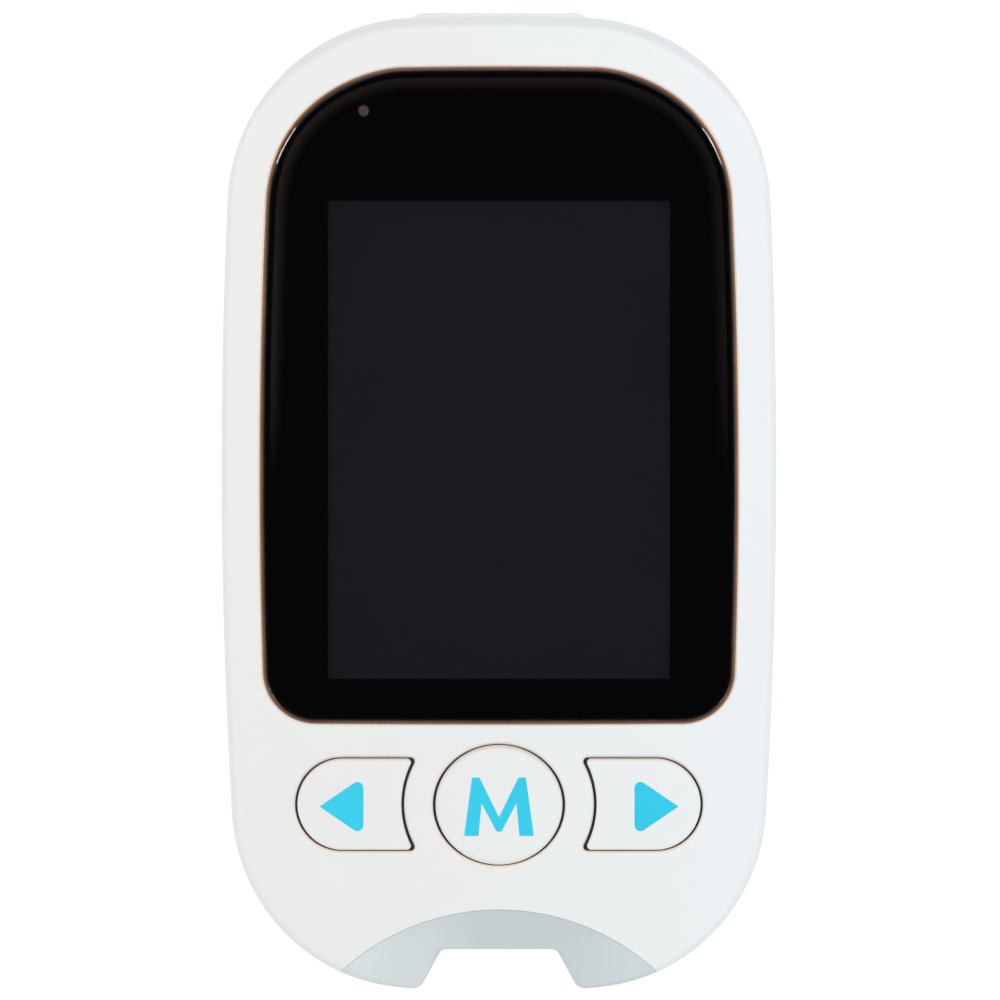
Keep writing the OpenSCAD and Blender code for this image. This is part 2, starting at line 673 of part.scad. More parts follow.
module strip_port_surround() {
    color([0.78, 0.81, 0.82]) {
        difference() {
            intersection() {
                front_form();
                arch(0, seam_z, face_z + 1);
            }
            difference() {
                front_hollow();
                notch_wall_block(seam_z - 1, face_z);
            }
            translate([0, arch_y, face_z + dish_r - dish_d]) rotate([-90, 0, 0])
                cylinder(h = 60, r = dish_r, $fn = 128);
            notch_cut();
            block(-slot_w / 2, slot_w / 2, notch_y - 3, notch_y + 4, slot_z, slot_z + slot_h);
            block(-slot_w / 2 - 1, slot_w / 2 + 1, notch_y - 3, notch_y + 0.4, slot_z - 0.7, slot_z + slot_h + 0.7);
        }
        // A rim under the front shell's face
        difference() {
            intersection() {
                arch(1.4, roof_z - 1.2, roof_z);
                front_hollow();
            }
            notch_cut();
        }
    }
}

module trim_ring() {
    color([0.66, 0.47, 0.35]) difference() {
        plate(inset(lens_line, 0), recess_z, face_z + 0.08);
        plate(inset(lens_line, trim_w), recess_z - 1, face_z + 1);
    }
}

module display_lens() {
    color([0.04, 0.04, 0.05]) loft([ring(lens_line, trim_w + lens_gap, lens_z),
        ring(lens_line, trim_w + lens_gap, lens_top_z - lens_bevel),
        ring(lens_line, trim_w + lens_gap + lens_bevel, lens_top_z)]);
}

module lens_mask() {
    color([0.02, 0.02, 0.02]) difference() {
        plate(inset(lens_line, trim_w + lens_gap), recess_z, lens_z);
        block(-window_w / 2, window_w / 2, window_y - window_h / 2, window_y + window_h / 2, recess_z - 1, lens_z + 1);
        rod_z(led_x, led_y, recess_z - 1, lens_z + 1, led_dot_r);
    }
}

// ---- the display ----

module lcd_gasket() {
    color([0.1, 0.1, 0.1]) difference() {
        block(-module_w / 2 + frame_rim, module_w / 2 - frame_rim, module_y0 + frame_rim, module_y1 - frame_rim,
            gasket_z, roof_z);
        block(-module_w / 2 + frame_rim + gasket_w, module_w / 2 - frame_rim - gasket_w,
            module_y0 + frame_rim + gasket_w, module_y1 - frame_rim - gasket_w, gasket_z - 1, roof_z + 1);
    }
}

module lcd_panel() {
    color([0.11, 0.12, 0.13]) block(-module_w / 2 + frame_rim, module_w / 2 - frame_rim,
        module_y0 + frame_rim, module_y1 - frame_rim, panel_z, gasket_z);
}

module lcd_backlight_frame() {
    color([0.9, 0.9, 0.88]) difference() {
        block(-module_w / 2, module_w / 2, module_y0, module_y1, board_top, gasket_z);
        block(-module_w / 2 + frame_rim, module_w / 2 - frame_rim, module_y0 + frame_rim, module_y1 - frame_rim,
            panel_z, gasket_z + 1);
    }
}

module lcd_flex() {
    y = module_y0;
    color([0.75, 0.5, 0.15]) {
        block(-flex_w / 2, flex_w / 2, y - 1.1, y, board_top + 0.9, board_top + 0.9 + flex_t);
        block(-flex_w / 2, flex_w / 2, y - 1.1, y - 1.1 + flex_t, board_top, board_top + 0.9 + flex_t);
    }
}

// ---- the keys ----

module key_m() {
    color([0.94, 0.94, 0.94]) difference() {
        key_body(mid_key(key_gap + key_bevel), mid_key(key_gap), mid_key(-key_rim_w));
        plate(letter_m, body_t - sign_t, body_t + 1);
    }
}

module key_right() {
    color([0.94, 0.94, 0.94]) difference() {
        key_body(side_key(key_gap + key_bevel), side_key(key_gap), side_key(-key_rim_w));
        plate(arrow, body_t - sign_t, body_t + 1);
    }
}

module key_left() {
    color([0.94, 0.94, 0.94]) difference() {
        mirror([1, 0, 0]) key_body(side_key(key_gap + key_bevel), side_key(key_gap), side_key(-key_rim_w));
        plate(flip(arrow), body_t - sign_t, body_t + 1);
    }
}

module sign_m() {
    color([0.23, 0.82, 0.93]) plate(letter_m, body_t - sign_t, body_t);
}

module sign_right() {
    color([0.23, 0.82, 0.93]) plate(arrow, body_t - sign_t, body_t);
}

module sign_left() {
    color([0.23, 0.82, 0.93]) plate(flip(arrow), body_t - sign_t, body_t);
}

module pad_m() {
    color([0.75, 0.75, 0.75]) key_pad(0);
}

module pad_right() {
    color([0.75, 0.75, 0.75]) key_pad(side_key_x - 1);
}

module pad_left() {
    color([0.75, 0.75, 0.75]) key_pad(1 - side_key_x);
}

module snap_dome_m() {
    color([0.8, 0.8, 0.8]) snap_dome(0);
}

module snap_dome_right() {
    color([0.8, 0.8, 0.8]) snap_dome(side_key_x - 1);
}

module snap_dome_left() {
    color([0.8, 0.8, 0.8]) snap_dome(1 - side_key_x);
}

// ---- the board ----

board_hw = body_w / 2 - wall - 5.5;
board_bottom = socket_y + 0.3;
board_top_y = bay_end + 1.7;
board_half = [[0, board_bottom], [screw_low_x - post_r - 3, board_bottom],
    [screw_low_x - post_r - 3, screw_low_y - 0.6], [board_hw, screw_low_y + post_r + 3.2],
    [board_hw, screw_top_y - post_r - 4], [screw_top_x - post_r - 0.3, screw_top_y - post_r - 1.4],
    [screw_top_x - post_r - 0.3, board_top_y], [0, board_top_y]];

module main_board() {
    color([0.05, 0.35, 0.2]) plate(concat(board_half, [for (i = [6:-1:1]) [-board_half[i][0], board_half[i][1]]]),
        board_z, board_top);
}

module microcontroller() {
    y = bay_y - bay_wall - chip_row;
    color([0.12, 0.12, 0.12]) block(chip_w / 2, chip_w * 3 / 2, y - chip_w - 2, y - 2, board_z - 1.1, board_z);
}

module bluetooth_module() {
    y = bay_y - bay_wall - chip_row;
    color([0.75, 0.75, 0.76]) block(-6 - radio_w, -6, y - radio_l, y, board_z - 1.6, board_z);
}

module memory_chip() {
    y = bay_y - bay_wall;
    color([0.12, 0.12, 0.12]) block(board_hw - 1.2 - memory_w, board_hw - 1.2, y - memory_w - 1, y,
        board_z - 0.9, board_z);
}

module buzzer() {
    color([0.15, 0.15, 0.15]) difference() {
        rod_z(buzzer_x, buzzer_y, board_z - buzzer_h, board_z, buzzer_r);
        rod_z(buzzer_x, buzzer_y, board_z - buzzer_h - 1, board_z - buzzer_h + 1, buzzer_mouth_r);
    }
}

module board_components() {
    color([0.6, 0.52, 0.4]) {
        for (y = [-6:4:26]) {
            block(board_hw - 4.6, board_hw - 3, y, y + 0.8, board_z - 0.6, board_z);
            block(3 - board_hw, 4.6 - board_hw, y + 1, y + 1.8, board_z - 0.6, board_z);
        }
        block(14.6, 17.8, 0.5, 1.9, board_z - 1, board_z);
        block(-18, -13.6, 12, 16.4, board_z - 0.9, board_z);
        block(-13, -9.5, -38.5, -35, board_z - 0.9, board_z);
    }
}

module status_led() {
    color([0.9, 0.9, 0.8]) block(led_x - 0.8, led_x + 0.8, led_y - 0.4, led_y + 0.4, board_top, board_top + led_t);
}

module light_guide() {
    color([0.8, 0.75, 0.75]) {
        rod_z(led_x, led_y, board_top + led_t, lens_z, guide_r);
        rod_z(led_x, led_y, roof_z - 0.5, roof_z, guide_r + 0.4);
    }
}

module strip_connector() {
    color([0.9, 0.9, 0.86]) difference() {
        block(-socket_w / 2, socket_w / 2, socket_y, socket_y + socket_l, socket_z, board_z);
        block(-slot_w / 2, slot_w / 2, socket_y - 1, socket_y + socket_l - 0.8, slot_z, slot_z + slot_h);
        block(-stem_w / 2 - door_gap, stem_w / 2 + door_gap, socket_y - 1, socket_y + socket_l + 1,
            socket_z - 1, slot_z + cut);
        block(-1.1, 1.1, socket_y - 1, socket_y + socket_l + 1, slot_z, slot_z + slot_h);
    }
}

module strip_contacts() {
    color([0.85, 0.68, 0.3]) for (x = [-3.1, -1.9, 1.5, 2.7]) {
        block(x, x + 0.45, socket_y + 2.5, socket_y + socket_l - 0.8, slot_z + slot_h - 0.2, slot_z + slot_h);
        block(x, x + 0.45, socket_y + 4, socket_y + 4.6, slot_z + slot_h - 0.6, slot_z + slot_h - 0.2 + cut);
    }
}

// ---- the batteries ----

module cell(x, flip_end) {
    y0 = bay_y + plate_t + (flip_end ? 0 : spring_l);
    body_l = cell_l - cell_button_h;
    translate([x, y0 + (flip_end ? cell_l : 0), cell_z]) rotate([flip_end ? 90 : -90, 0, 0]) {
        cylinder(h = body_l, r = cell_d / 2);
        cylinder(h = cell_l, r = cell_button_r);
    }
}

module battery_cell_left() {
    color([0.75, 0.76, 0.78]) cell(-cell_x, false);
}

module battery_cell_right() {
    color([0.75, 0.76, 0.78]) cell(cell_x, true);
}

module battery_bridge() {
    color([0.8, 0.8, 0.78]) {
        block(-bay_hw + 0.6, bay_hw - 0.6, bay_end - plate_t, bay_end, cell_z - 3.4, cell_z + 3.4);
        translate([cell_x, bay_end - plate_t, cell_z]) rotate([90, 0, 0]) coil(spring_r, spring_l, 3);
    }
}

module battery_contact_spring() {
    color([0.8, 0.8, 0.78]) {
        block(-cell_x - 3.4, -cell_x + 3.4, bay_y, bay_y + plate_t, cell_z - 3.4, cell_z + 3.4);
        block(-cell_x - 1, -cell_x + 1, bay_y, bay_y + plate_t, cell_z, board_z);
        translate([-cell_x, bay_y + plate_t, cell_z]) rotate([-90, 0, 0]) coil(spring_r, spring_l, 3);
    }
}

module battery_contact_plate() {
    color([0.8, 0.8, 0.78]) {
        block(cell_x - 3.4, cell_x + 3.4, bay_y, bay_y + plate_t, cell_z - 3.4, cell_z + 3.4);
        block(cell_x - 1, cell_x + 1, bay_y, bay_y + plate_t, cell_z, board_z);
    }
}

module battery_door() {
    lip = [[lip_hw + 1.2, top_reach - 0.8], [lip_hw, top_reach + lip_out], [-lip_hw, top_reach + lip_out],
        [-lip_hw - 1.2, top_reach - 0.8]];
    color([0.93, 0.93, 0.92]) {
        difference() {
            union() {
                intersection() {
                    rear_form(0);
                    block(-door_hw, door_hw, hinge_y, top_reach + 1, -1, door_end_h);
                }
                plate(lip, lip_z, lip_z + lip_t);
            }
            rear_form(door_t);
            // Seat of the label
            block(-label_w / 2, label_w / 2, bay_y + 3, bay_y + 3 + label_l, -1, label_t);
            // Grip grooves
            for (i = [0:4]) {
                block(-grip_w / 2, grip_w / 2, top_reach - 10 + i * 1.3, top_reach - 9.4 + i * 1.3, -1, grip_d);
            }
        }
        rod_x(-door_hw, door_hw, hinge_y, hinge_z, bead_r);
        rod_x(-door_hw - pin_l, door_hw + pin_l, hinge_y, hinge_z, pin_r);
    }
}

module door_label() {
    color([0.97, 0.97, 0.97]) block(-label_w / 2, label_w / 2, bay_y + 3, bay_y + 3 + label_l, 0, label_t);
}

// ---- the ejector ----

module ejector_slider() {
    mid = eject_y - stem_l / 2;
    color([0.78, 0.81, 0.82]) {
        difference() {
            block(-thumb_w / 2, thumb_w / 2, mid - thumb_l / 2, mid + thumb_l / 2, thumb_z, thumb_z + thumb_t);
            for (i = [-1:1]) {
                block(-thumb_w / 2 + 1, thumb_w / 2 - 1, mid + i * 1.6 - 0.3, mid + i * 1.6 + 0.3, 0, thumb_z + 0.3);
            }
        }
        block(-stem_w / 2, stem_w / 2, eject_y - stem_l, eject_y, thumb_z + thumb_t - cut, collar_top - 0.8);
    }
}

module ejector_pusher() {
    // A collar on the slider's stem, a finger in the strip's channel and an arm for the spring
    color([0.3, 0.3, 0.32]) {
        difference() {
            block(-stem_w / 2 - 1, stem_w / 2 + 1, eject_y - stem_l - 1, eject_y + 1, collar_z, collar_top);
            block(-stem_w / 2, stem_w / 2, eject_y - stem_l, eject_y, 0, collar_top - 0.8);
        }
        block(-0.8, 0.8, eject_y - 2, eject_y - 0.4, collar_top - cut, strip_z + 0.3);
        block(stem_w / 2 + 1 - cut, stem_w / 2 + 4.4, eject_y, eject_y + 1, collar_z, collar_top);
    }
}

module ejector_spring() {
    y0 = notch_y + notch_wall;
    color([0.7, 0.7, 0.7]) translate([stem_w / 2 + 1.2 + return_r, y0 + 0.08, collar_z + 1.9])
        rotate([-90, 0, 0]) coil(return_r, eject_y - y0 - 0.08, 6);
}

// ---- the screws ----

module case_screws() {
    color([0.6, 0.6, 0.62]) for (s = side_screws) {
        difference() {
            union() {
                rod_z(s[0], s[1], head_sink, head_sink + head_t, head_r);
                rod_z(s[0], s[1], head_sink, head_sink + head_t + thread_l, screw_r);
            }
            block(s[0] - 1.1, s[0] + 1.1, s[1] - 0.22, s[1] + 0.22, head_sink - 1, head_sink + 0.8);
            block(s[0] - 0.22, s[0] + 0.22, s[1] - 1.1, s[1] + 1.1, head_sink - 1, head_sink + 0.8);
        }
    }
}

rear_shell();
front_shell();
strip_port_surround();
trim_ring();
display_lens();
lens_mask();
lcd_gasket();
lcd_panel();
lcd_backlight_frame();
lcd_flex();
key_m();
key_right();
key_left();
sign_m();
sign_right();
sign_left();
pad_m();
pad_right();
pad_left();
snap_dome_m();
snap_dome_right();
snap_dome_left();
main_board();
microcontroller();
bluetooth_module();
memory_chip();
buzzer();
board_components();
status_led();
light_guide();
strip_connector();
strip_contacts();
battery_cell_left();
battery_cell_right();
battery_bridge();
battery_contact_spring();
battery_contact_plate();
battery_door();
door_label();
ejector_slider();
ejector_pusher();
ejector_spring();
case_screws();
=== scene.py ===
# %% [markdown]
# # A pocket blood glucose meter
# The meter lies on its back. Its screen looks up along +Z, and the port for the test strips is at the -Y end.
# A solid model of it already exists, as exact pieces that move on joints, and it is loaded as a fixed frame.
# This lesson dresses that frame: rounded mouldings, a glass-like lens, metal trim, wound springs and real
# finishes. Lengths are written in millimetres, as on a drawing of such a meter, and turn into metres when a
# finished piece is put in its place.

# %% Load the solid frame
from math import acos, asin, atan2, cos, degrees, hypot, pi, radians, sin, sqrt

import bpy
from mathutils import Matrix, Vector


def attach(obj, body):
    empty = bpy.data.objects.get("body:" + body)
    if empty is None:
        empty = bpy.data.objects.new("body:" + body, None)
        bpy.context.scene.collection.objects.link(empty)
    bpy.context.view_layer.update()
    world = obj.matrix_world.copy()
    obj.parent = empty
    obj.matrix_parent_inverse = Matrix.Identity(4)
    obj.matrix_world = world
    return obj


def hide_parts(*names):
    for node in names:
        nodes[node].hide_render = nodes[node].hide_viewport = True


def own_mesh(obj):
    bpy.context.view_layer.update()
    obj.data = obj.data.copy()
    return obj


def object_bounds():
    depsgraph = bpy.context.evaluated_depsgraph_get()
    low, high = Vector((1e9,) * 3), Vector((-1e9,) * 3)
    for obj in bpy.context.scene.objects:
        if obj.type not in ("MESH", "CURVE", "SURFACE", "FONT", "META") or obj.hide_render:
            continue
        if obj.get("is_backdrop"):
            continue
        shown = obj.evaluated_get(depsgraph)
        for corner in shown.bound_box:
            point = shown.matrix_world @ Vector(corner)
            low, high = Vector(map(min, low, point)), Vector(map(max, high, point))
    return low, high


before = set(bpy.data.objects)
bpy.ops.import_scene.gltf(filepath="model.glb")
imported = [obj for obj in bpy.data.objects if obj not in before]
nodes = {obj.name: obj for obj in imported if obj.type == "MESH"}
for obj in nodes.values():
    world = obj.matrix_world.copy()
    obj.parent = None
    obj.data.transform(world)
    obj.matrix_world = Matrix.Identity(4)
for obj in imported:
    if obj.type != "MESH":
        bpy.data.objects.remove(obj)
cad_box = [list(corner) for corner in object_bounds()]
MM = 0.001
print("frame size in mm:", [round((cad_box[1][i] - cad_box[0][i]) / MM, 2) for i in range(3)])

# %% [markdown]
# ## Drawing the outlines
# The case is four long arcs, joined by round corners that touch both neighbours. Two circles that must touch
# are found by the place where two distances meet, so no corner is ever placed by eye.
# A line here is a list of points, each with the direction that leads out of it. With that direction a line
# can be shrunk or grown evenly, which is all that a rounded edge or a clearance needs.


# %% Points, arcs and lines
def meet(p, a, q, b):
    """The point at distance a from p and b from q, on the left of the way from p to q."""
    dx, dy = q[0] - p[0], q[1] - p[1]
    length = hypot(dx, dy)
    along = (a * a - b * b + length * length) / (2 * length)
    aside = sqrt(max(0.0, a * a - along * along))
    return p[0] + (dx * along - dy * aside) / length, p[1] + (dy * along + dx * aside) / length


def bearing(p, q):
    return degrees(atan2(q[1] - p[1], q[0] - p[0]))


def polar(centre, radius, angle):
    turn = radians(angle)
    return centre[0] + radius * cos(turn), centre[1] + radius * sin(turn)


def arc(centre, radius, start, end, steps):
    """Points along an arc without its last one, so that arcs can follow each other."""
    return [polar(centre, radius, start + (end - start) * i / steps) for i in range(steps)]


def outlined(points):
    """Turns points anticlockwise and adds to each the direction out of the closed line."""
    area = sum(p[0] * q[1] - q[0] * p[1] for p, q in zip(points, points[1:] + points[:1]))
    points = points if area > 0 else points[::-1]
    line = []
    for i, (x, y) in enumerate(points):
        before, after = points[i - 1], points[(i + 1) % len(points)]
        tx, ty = after[0] - before[0], after[1] - before[1]
        length = hypot(tx, ty)
        line.append((x, y, ty / length, -tx / length))
    return line


def mirrored(half, top=None):
    """A right half, drawn from the bottom up, closed with its mirror image. With top, the half starts in the
    middle, and the middle point at that height comes after it."""
    back = [(-x, y) for x, y in reversed(half)]
    return outlined(half + (back if top is None else [(0.0, top)] + back[:-1]))


def ring(line, inset, z):
    return [(x - inset * nx, y - inset * ny, z) for x, y, nx, ny in line]


def disc(x, y, radius, steps=48):
    return outlined(arc((x, y), radius, 0, 360, steps))


def oblong(x0, x1, y0, y1, corner=0.1):
    """A rectangle with round corners."""
    left, right, low, high = x0 + corner, x1 - corner, y0 + corner, y1 - corner
    points = []
    for i, centre in enumerate([(right, low), (right, high), (left, high), (left, low)]):
        points += [polar(centre, corner, -90 + 90 * i + 22.5 * k) for k in range(5)]
    return outlined(points)


# %% The outline of the case
side_r, top_r, bottom_r = 586.6, 190, 98
half_width, widest_y, top_y, bottom_y = 27.5, 3.55, 48.0, -48.7
side_c, top_c, bottom_c = (half_width - side_r, widest_y), (0, top_y - top_r), (0, bottom_r + bottom_y)
top_corner_r, bottom_corner_r = 18.9, 18.25
top_corner_c = meet(side_c, side_r - top_corner_r, top_c, top_r - top_corner_r)
bottom_corner_c = meet(bottom_c, bottom_r - bottom_corner_r, side_c, side_r - bottom_corner_r)
turns = [bearing(bottom_c, bottom_corner_c), bearing(side_c, bottom_corner_c),
         bearing(side_c, top_corner_c), bearing(top_c, top_corner_c)]
case_half = arc(bottom_c, bottom_r, -90, turns[0], 22)
case_half += arc(bottom_corner_c, bottom_corner_r, turns[0], turns[1], 40)
case_half += arc(side_c, side_r, turns[1], turns[2], 24)
case_half += arc(top_corner_c, top_corner_r, turns[2], turns[3], 40)
case_half += arc(top_c, top_r, turns[3], 90, 22)
case_line = mirrored(case_half, top_y)
print("case outline:", len(case_line), "points")

# %% The outline of the lens and its trim
lens_side_r, lens_bottom_r, lens_top_r, lens_corner_r = 596.8, 2300, 549, 5.35
lens_half_width, lens_widest_y, lens_top, lens_bottom = 23.78, 2.5, 42.98, -22.31
lens_side_c = (lens_half_width - lens_side_r, lens_widest_y)
lens_bottom_c, lens_top_c = (0, lens_bottom_r + lens_bottom), (0, lens_top - lens_top_r)
lens_corner_c = meet(lens_bottom_c, lens_bottom_r - lens_corner_r, lens_side_c, lens_side_r - lens_corner_r)
turns = [bearing(lens_bottom_c, lens_corner_c), bearing(lens_side_c, lens_corner_c)]
# The side ends at this height, the top begins at this distance from the middle, and the curve between them
# leaves and lands with these pulls.
side_end_y, top_start_x, side_pull, top_pull = 29.5, 9.48, 9.95, 4.2
side_end = asin((side_end_y - lens_widest_y) / lens_side_r)
top_start = acos(top_start_x / lens_top_r)
turn_a = Vector(polar(lens_side_c, lens_side_r, degrees(side_end)))
turn_d = Vector(polar(lens_top_c, lens_top_r, degrees(top_start)))
turn_b = turn_a + side_pull * Vector((-sin(side_end), cos(side_end)))
turn_c = turn_d + top_pull * Vector((sin(top_start), -cos(top_start)))


def bend(t):
    """The soft upper corner of the lens, a cubic curve that leaves one arc and lands on the next."""
    s = 1 - t
    return tuple(s ** 3 * turn_a + 3 * s * s * t * turn_b + 3 * s * t * t * turn_c + t ** 3 * turn_d)


lens_half = arc(lens_bottom_c, lens_bottom_r, -90, turns[0], 16)
lens_half += arc(lens_corner_c, lens_corner_r, turns[0], turns[1], 28)
lens_half += arc(lens_side_c, lens_side_r, turns[1], degrees(side_end), 24)
lens_half += [bend(i / 56) for i in range(56)]
lens_half += arc(lens_top_c, lens_top_r, degrees(top_start), 90, 12)
lens_line = mirrored(lens_half, lens_top)
print("lens outline:", len(lens_line), "points")

# %% [markdown]
# ## Turning outlines into mouldings
# A moulding is a stack of rings: the same outline at growing height, a little smaller where an edge is round.
# Joining each ring to the next gives the skin, and the holes are cut by booleans afterwards.
# A cutter whose wall flares where it leaves the surface also leaves a rounded edge behind, as a mould does,
# so the small light line round every opening is real shape and not paint.


# %% Solids, walls and cuts
def shape(name, points, faces):
    mesh = bpy.data.meshes.new(name)
    mesh.from_pydata(points, [], faces)
    piece = bpy.data.objects.new(name, mesh)
    bpy.context.scene.collection.objects.link(piece)
    return piece


def solid(name, rings, loop=False):
    """A closed mesh through rings of equal point count. With loop, the last ring meets the first."""
    count, levels = len(rings[0]), len(rings)
    faces = []
    for k in range(levels if loop else levels - 1):
        low, high = k * count, (k + 1) % levels * count
        for i in range(count):
            j = (i + 1) % count
            faces.append((low + i, low + j, high + j, high + i))
    if not loop:
        faces.append(tuple(range(count))[::-1])
        faces.append(tuple(range((levels - 1) * count, levels * count)))
    return shape(name, [p for level in rings for p in level], faces)


def walls(z0, z1, low=0.0, high=0.0, under=0.0, over=0.0, steps=5):
    """(inset, height) pairs up a wall whose lower and upper edge are rounded by the radii low and high. A
    negative radius flares out instead. Under and over run on past the two ends, as a cutter needs."""
    def edge(radius, z, way):
        turn = [radians(90 * i / steps) for i in range(steps + 1)]
        return [(radius * (1 - cos(t)), z + way * abs(radius) * (1 - sin(t))) for t in turn]
    lower = edge(low, z0, 1)[::-1] if low else [(0.0, z0)]
    upper = edge(high, z1, -1) if high else [(0.0, z1)]
    if under:
        lower = [(low, z0 - under)] + (lower if low else [])
    if over:
        upper = (upper if high else []) + [(high, z1 + over)]
    return lower + upper


def prism(name, line, profile, inset=0.0):
    return solid(name, [ring(line, inset + extra, z) for extra, z in profile])


def block(x0, x1, y0, y1, z0, z1, corner=0.1, **edges):
    return prism("block", oblong(x0, x1, y0, y1, corner), walls(z0, z1, **edges))


def slab(half, *sizes, **edges):
    """A block that reaches as far to the left as to the right."""
    return block(-half, half, *sizes, **edges)


def turned(name, profile, x=0.0, y=0.0, steps=48, loop=False):
    """A piece as it comes off a lathe, from (radius, height) pairs."""
    return solid(name, [ring(disc(x, y, radius, steps), 0, z) for radius, z in profile], loop)


def carve(piece, tool, how="DIFFERENCE"):
    """Applies one boolean straight away and throws the tool away."""
    step = piece.modifiers.new("carve", "BOOLEAN")
    step.operation = how
    step.solver = "EXACT"
    step.object = tool
    shaped = piece.evaluated_get(bpy.context.evaluated_depsgraph_get())
    mesh = bpy.data.meshes.new_from_object(shaped)
    piece.modifiers.remove(step)
    piece.data = mesh
    bpy.data.objects.remove(tool)
    return piece


def cut(piece, what, line, z0, z1, **edges):
    """Takes away a hole or pocket of this outline between two heights."""
    return carve(piece, prism(what, line, walls(z0, z1, **edges)))


def laid(tool, angle, axis, x=0.0, y=0.0, z=0.0):
    """Turns a piece that was drawn along Z and moves it."""
    tool.data.transform(Matrix.Translation((x, y, z)) @ Matrix.Rotation(radians(angle), 4, axis))
    return tool


def joined(name, *parts):
    """Several loose meshes as one piece."""
    points, faces = [], []
    for part in parts:
        start = len(points)
        points += [v.co.copy() for v in part.data.vertices]
        faces += [tuple(start + i for i in face.vertices) for face in part.data.polygons]
        bpy.data.objects.remove(part)
    return shape(name, points, faces)


# %% Finishing a piece
def place(piece, material, slot, *replaced, body="housing", crease=38):
    """Scales a piece to metres, shades it and lets it ride on its body, in place of the replaced nodes."""
    mesh = piece.data
    mesh.transform(Matrix.Scale(MM, 4))
    mesh.materials.clear()
    mesh.materials.append(material)
    mesh.shade_smooth()
    mesh.set_sharp_from_angle(angle=radians(crease))
    even = piece.modifiers.new("even shading", "WEIGHTED_NORMAL")
    even.keep_sharp = True
    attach(piece, body)
    if replaced:
        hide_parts(*replaced)
    print(f"{piece.name}: {len(mesh.polygons)} faces")
    return piece


# %% [markdown]
# ## Finishes
# Each finish starts from what it is on a real meter. Colours are the hex values that a screen shows, and one
# function turns them into the linear light that the renderer counts in. Patterns are sized in millimetres:
# a noise whose features are 0.3 mm across needs a scale of one over 0.0003 metres.


# %% Colour and node helpers
def linear(code):
    parts = [int(code[i:i + 2], 16) / 255 for i in (1, 3, 5)]
    return tuple(c / 12.92 if c <= 0.04045 else ((c + 0.055) / 1.055) ** 2.4 for c in parts) + (1.0,)


def add(tree, kind, links=None, **settings):
    """Adds one node. Settings are its own properties. Links hold a value or another node's socket for each
    input, and a hex code is turned into its colour. The helpers below find the tree from their first socket,
    whose id_data it is."""
    node = tree.nodes.new("ShaderNode" + kind)
    for name, value in settings.items():
        setattr(node, name, value)
    for name, value in (links or {}).items():
        if isinstance(value, bpy.types.NodeSocket):
            tree.links.new(value, node.inputs[name])
        else:
            node.inputs[name].default_value = linear(value) if isinstance(value, str) else value
    return node


def noise(where, size, detail, **more):
    """The grey of a noise whose features are about size millimetres across."""
    links = {"Vector": where, "Scale": 1 / (size * MM), "Detail": detail, **more}
    return add(where.id_data, "TexNoise", links).outputs["Fac"]


def blend(share, first, second):
    return add(share.id_data, "MixRGB", {"Fac": share, "Color1": first, "Color2": second}).outputs["Color"]


def remap(value, target=(0.0, 1.0), source=(0.0, 1.0), **settings):
    """Takes values from the range source over to the range target."""
    names = ("From Min", "From Max", "To Min", "To Max")
    links = {"Value": value, **dict(zip(names, source + target))}
    return add(value.id_data, "MapRange", links, **settings).outputs["Result"]


def calc(how, first, second=0.5):
    return add(first.id_data, "Math", {0: first, 1: second}, operation=how).outputs["Value"]


def product(first, *others):
    for other in others:
        first = calc("MULTIPLY", first, other)
    return first


def split(vector):
    return add(vector.id_data, "SeparateXYZ", {"Vector": vector}).outputs


def bumps(height, strength, depth):
    """Surface relief, depth in millimetres."""
    links = {"Height": height, "Strength": strength, "Distance": depth * MM}
    return add(height.id_data, "Bump", links).outputs["Normal"]


def finish(name, **values):
    """A new material with one Principled shader. Returns the material, its shader and the place on the
    piece, which every pattern starts from."""
    material = bpy.data.materials.new(name)
    material.use_nodes = True
    shader = material.node_tree.nodes["Principled BSDF"]
    for key, value in values.items():
        shader.inputs[key.replace("_", " ")].default_value = value
    return material, shader, add(material.node_tree, "TexCoord").outputs["Object"]


def feed(shader, **sockets):
    """Links outputs to the shader's inputs, such as Base_Color."""
    for key, socket in sockets.items():
        shader.id_data.links.new(socket, shader.inputs[key.replace("_", " ")])


def normals(shader):
    """The direction that the surface faces, as its X, Y and Z."""
    return split(add(shader.id_data, "NewGeometry").outputs["Normal"])


# %% [markdown]
# ### Moulded ABS
# The case halves, the keys and the grey port piece are injection-moulded ABS. The steel mould is
# spark-eroded, which leaves a fine, even grain that breaks up reflections into a soft satin sheen. Each
# finish has a colour for several places across the part, and a slow noise on top of them. On the white
# finishes these colours are painted light, warmer on the left and cooler on the right, and on the grey
# one painted shade, darker in the middle of its dish. The real grain is about 0.1 mm, too fine to show
# here, so it is drawn two to three times coarser. Round the keys the edges that face the top end are
# painted a warm cream, a painted highlight.

# %% Moulded ABS
RAMP_HALF = 30
# The row of the keys, where edges that face the top end get a painted warm highlight.
ROW_LOW, ROW_HIGH, ROW_DEPTH = -37.5, -23.0, 18


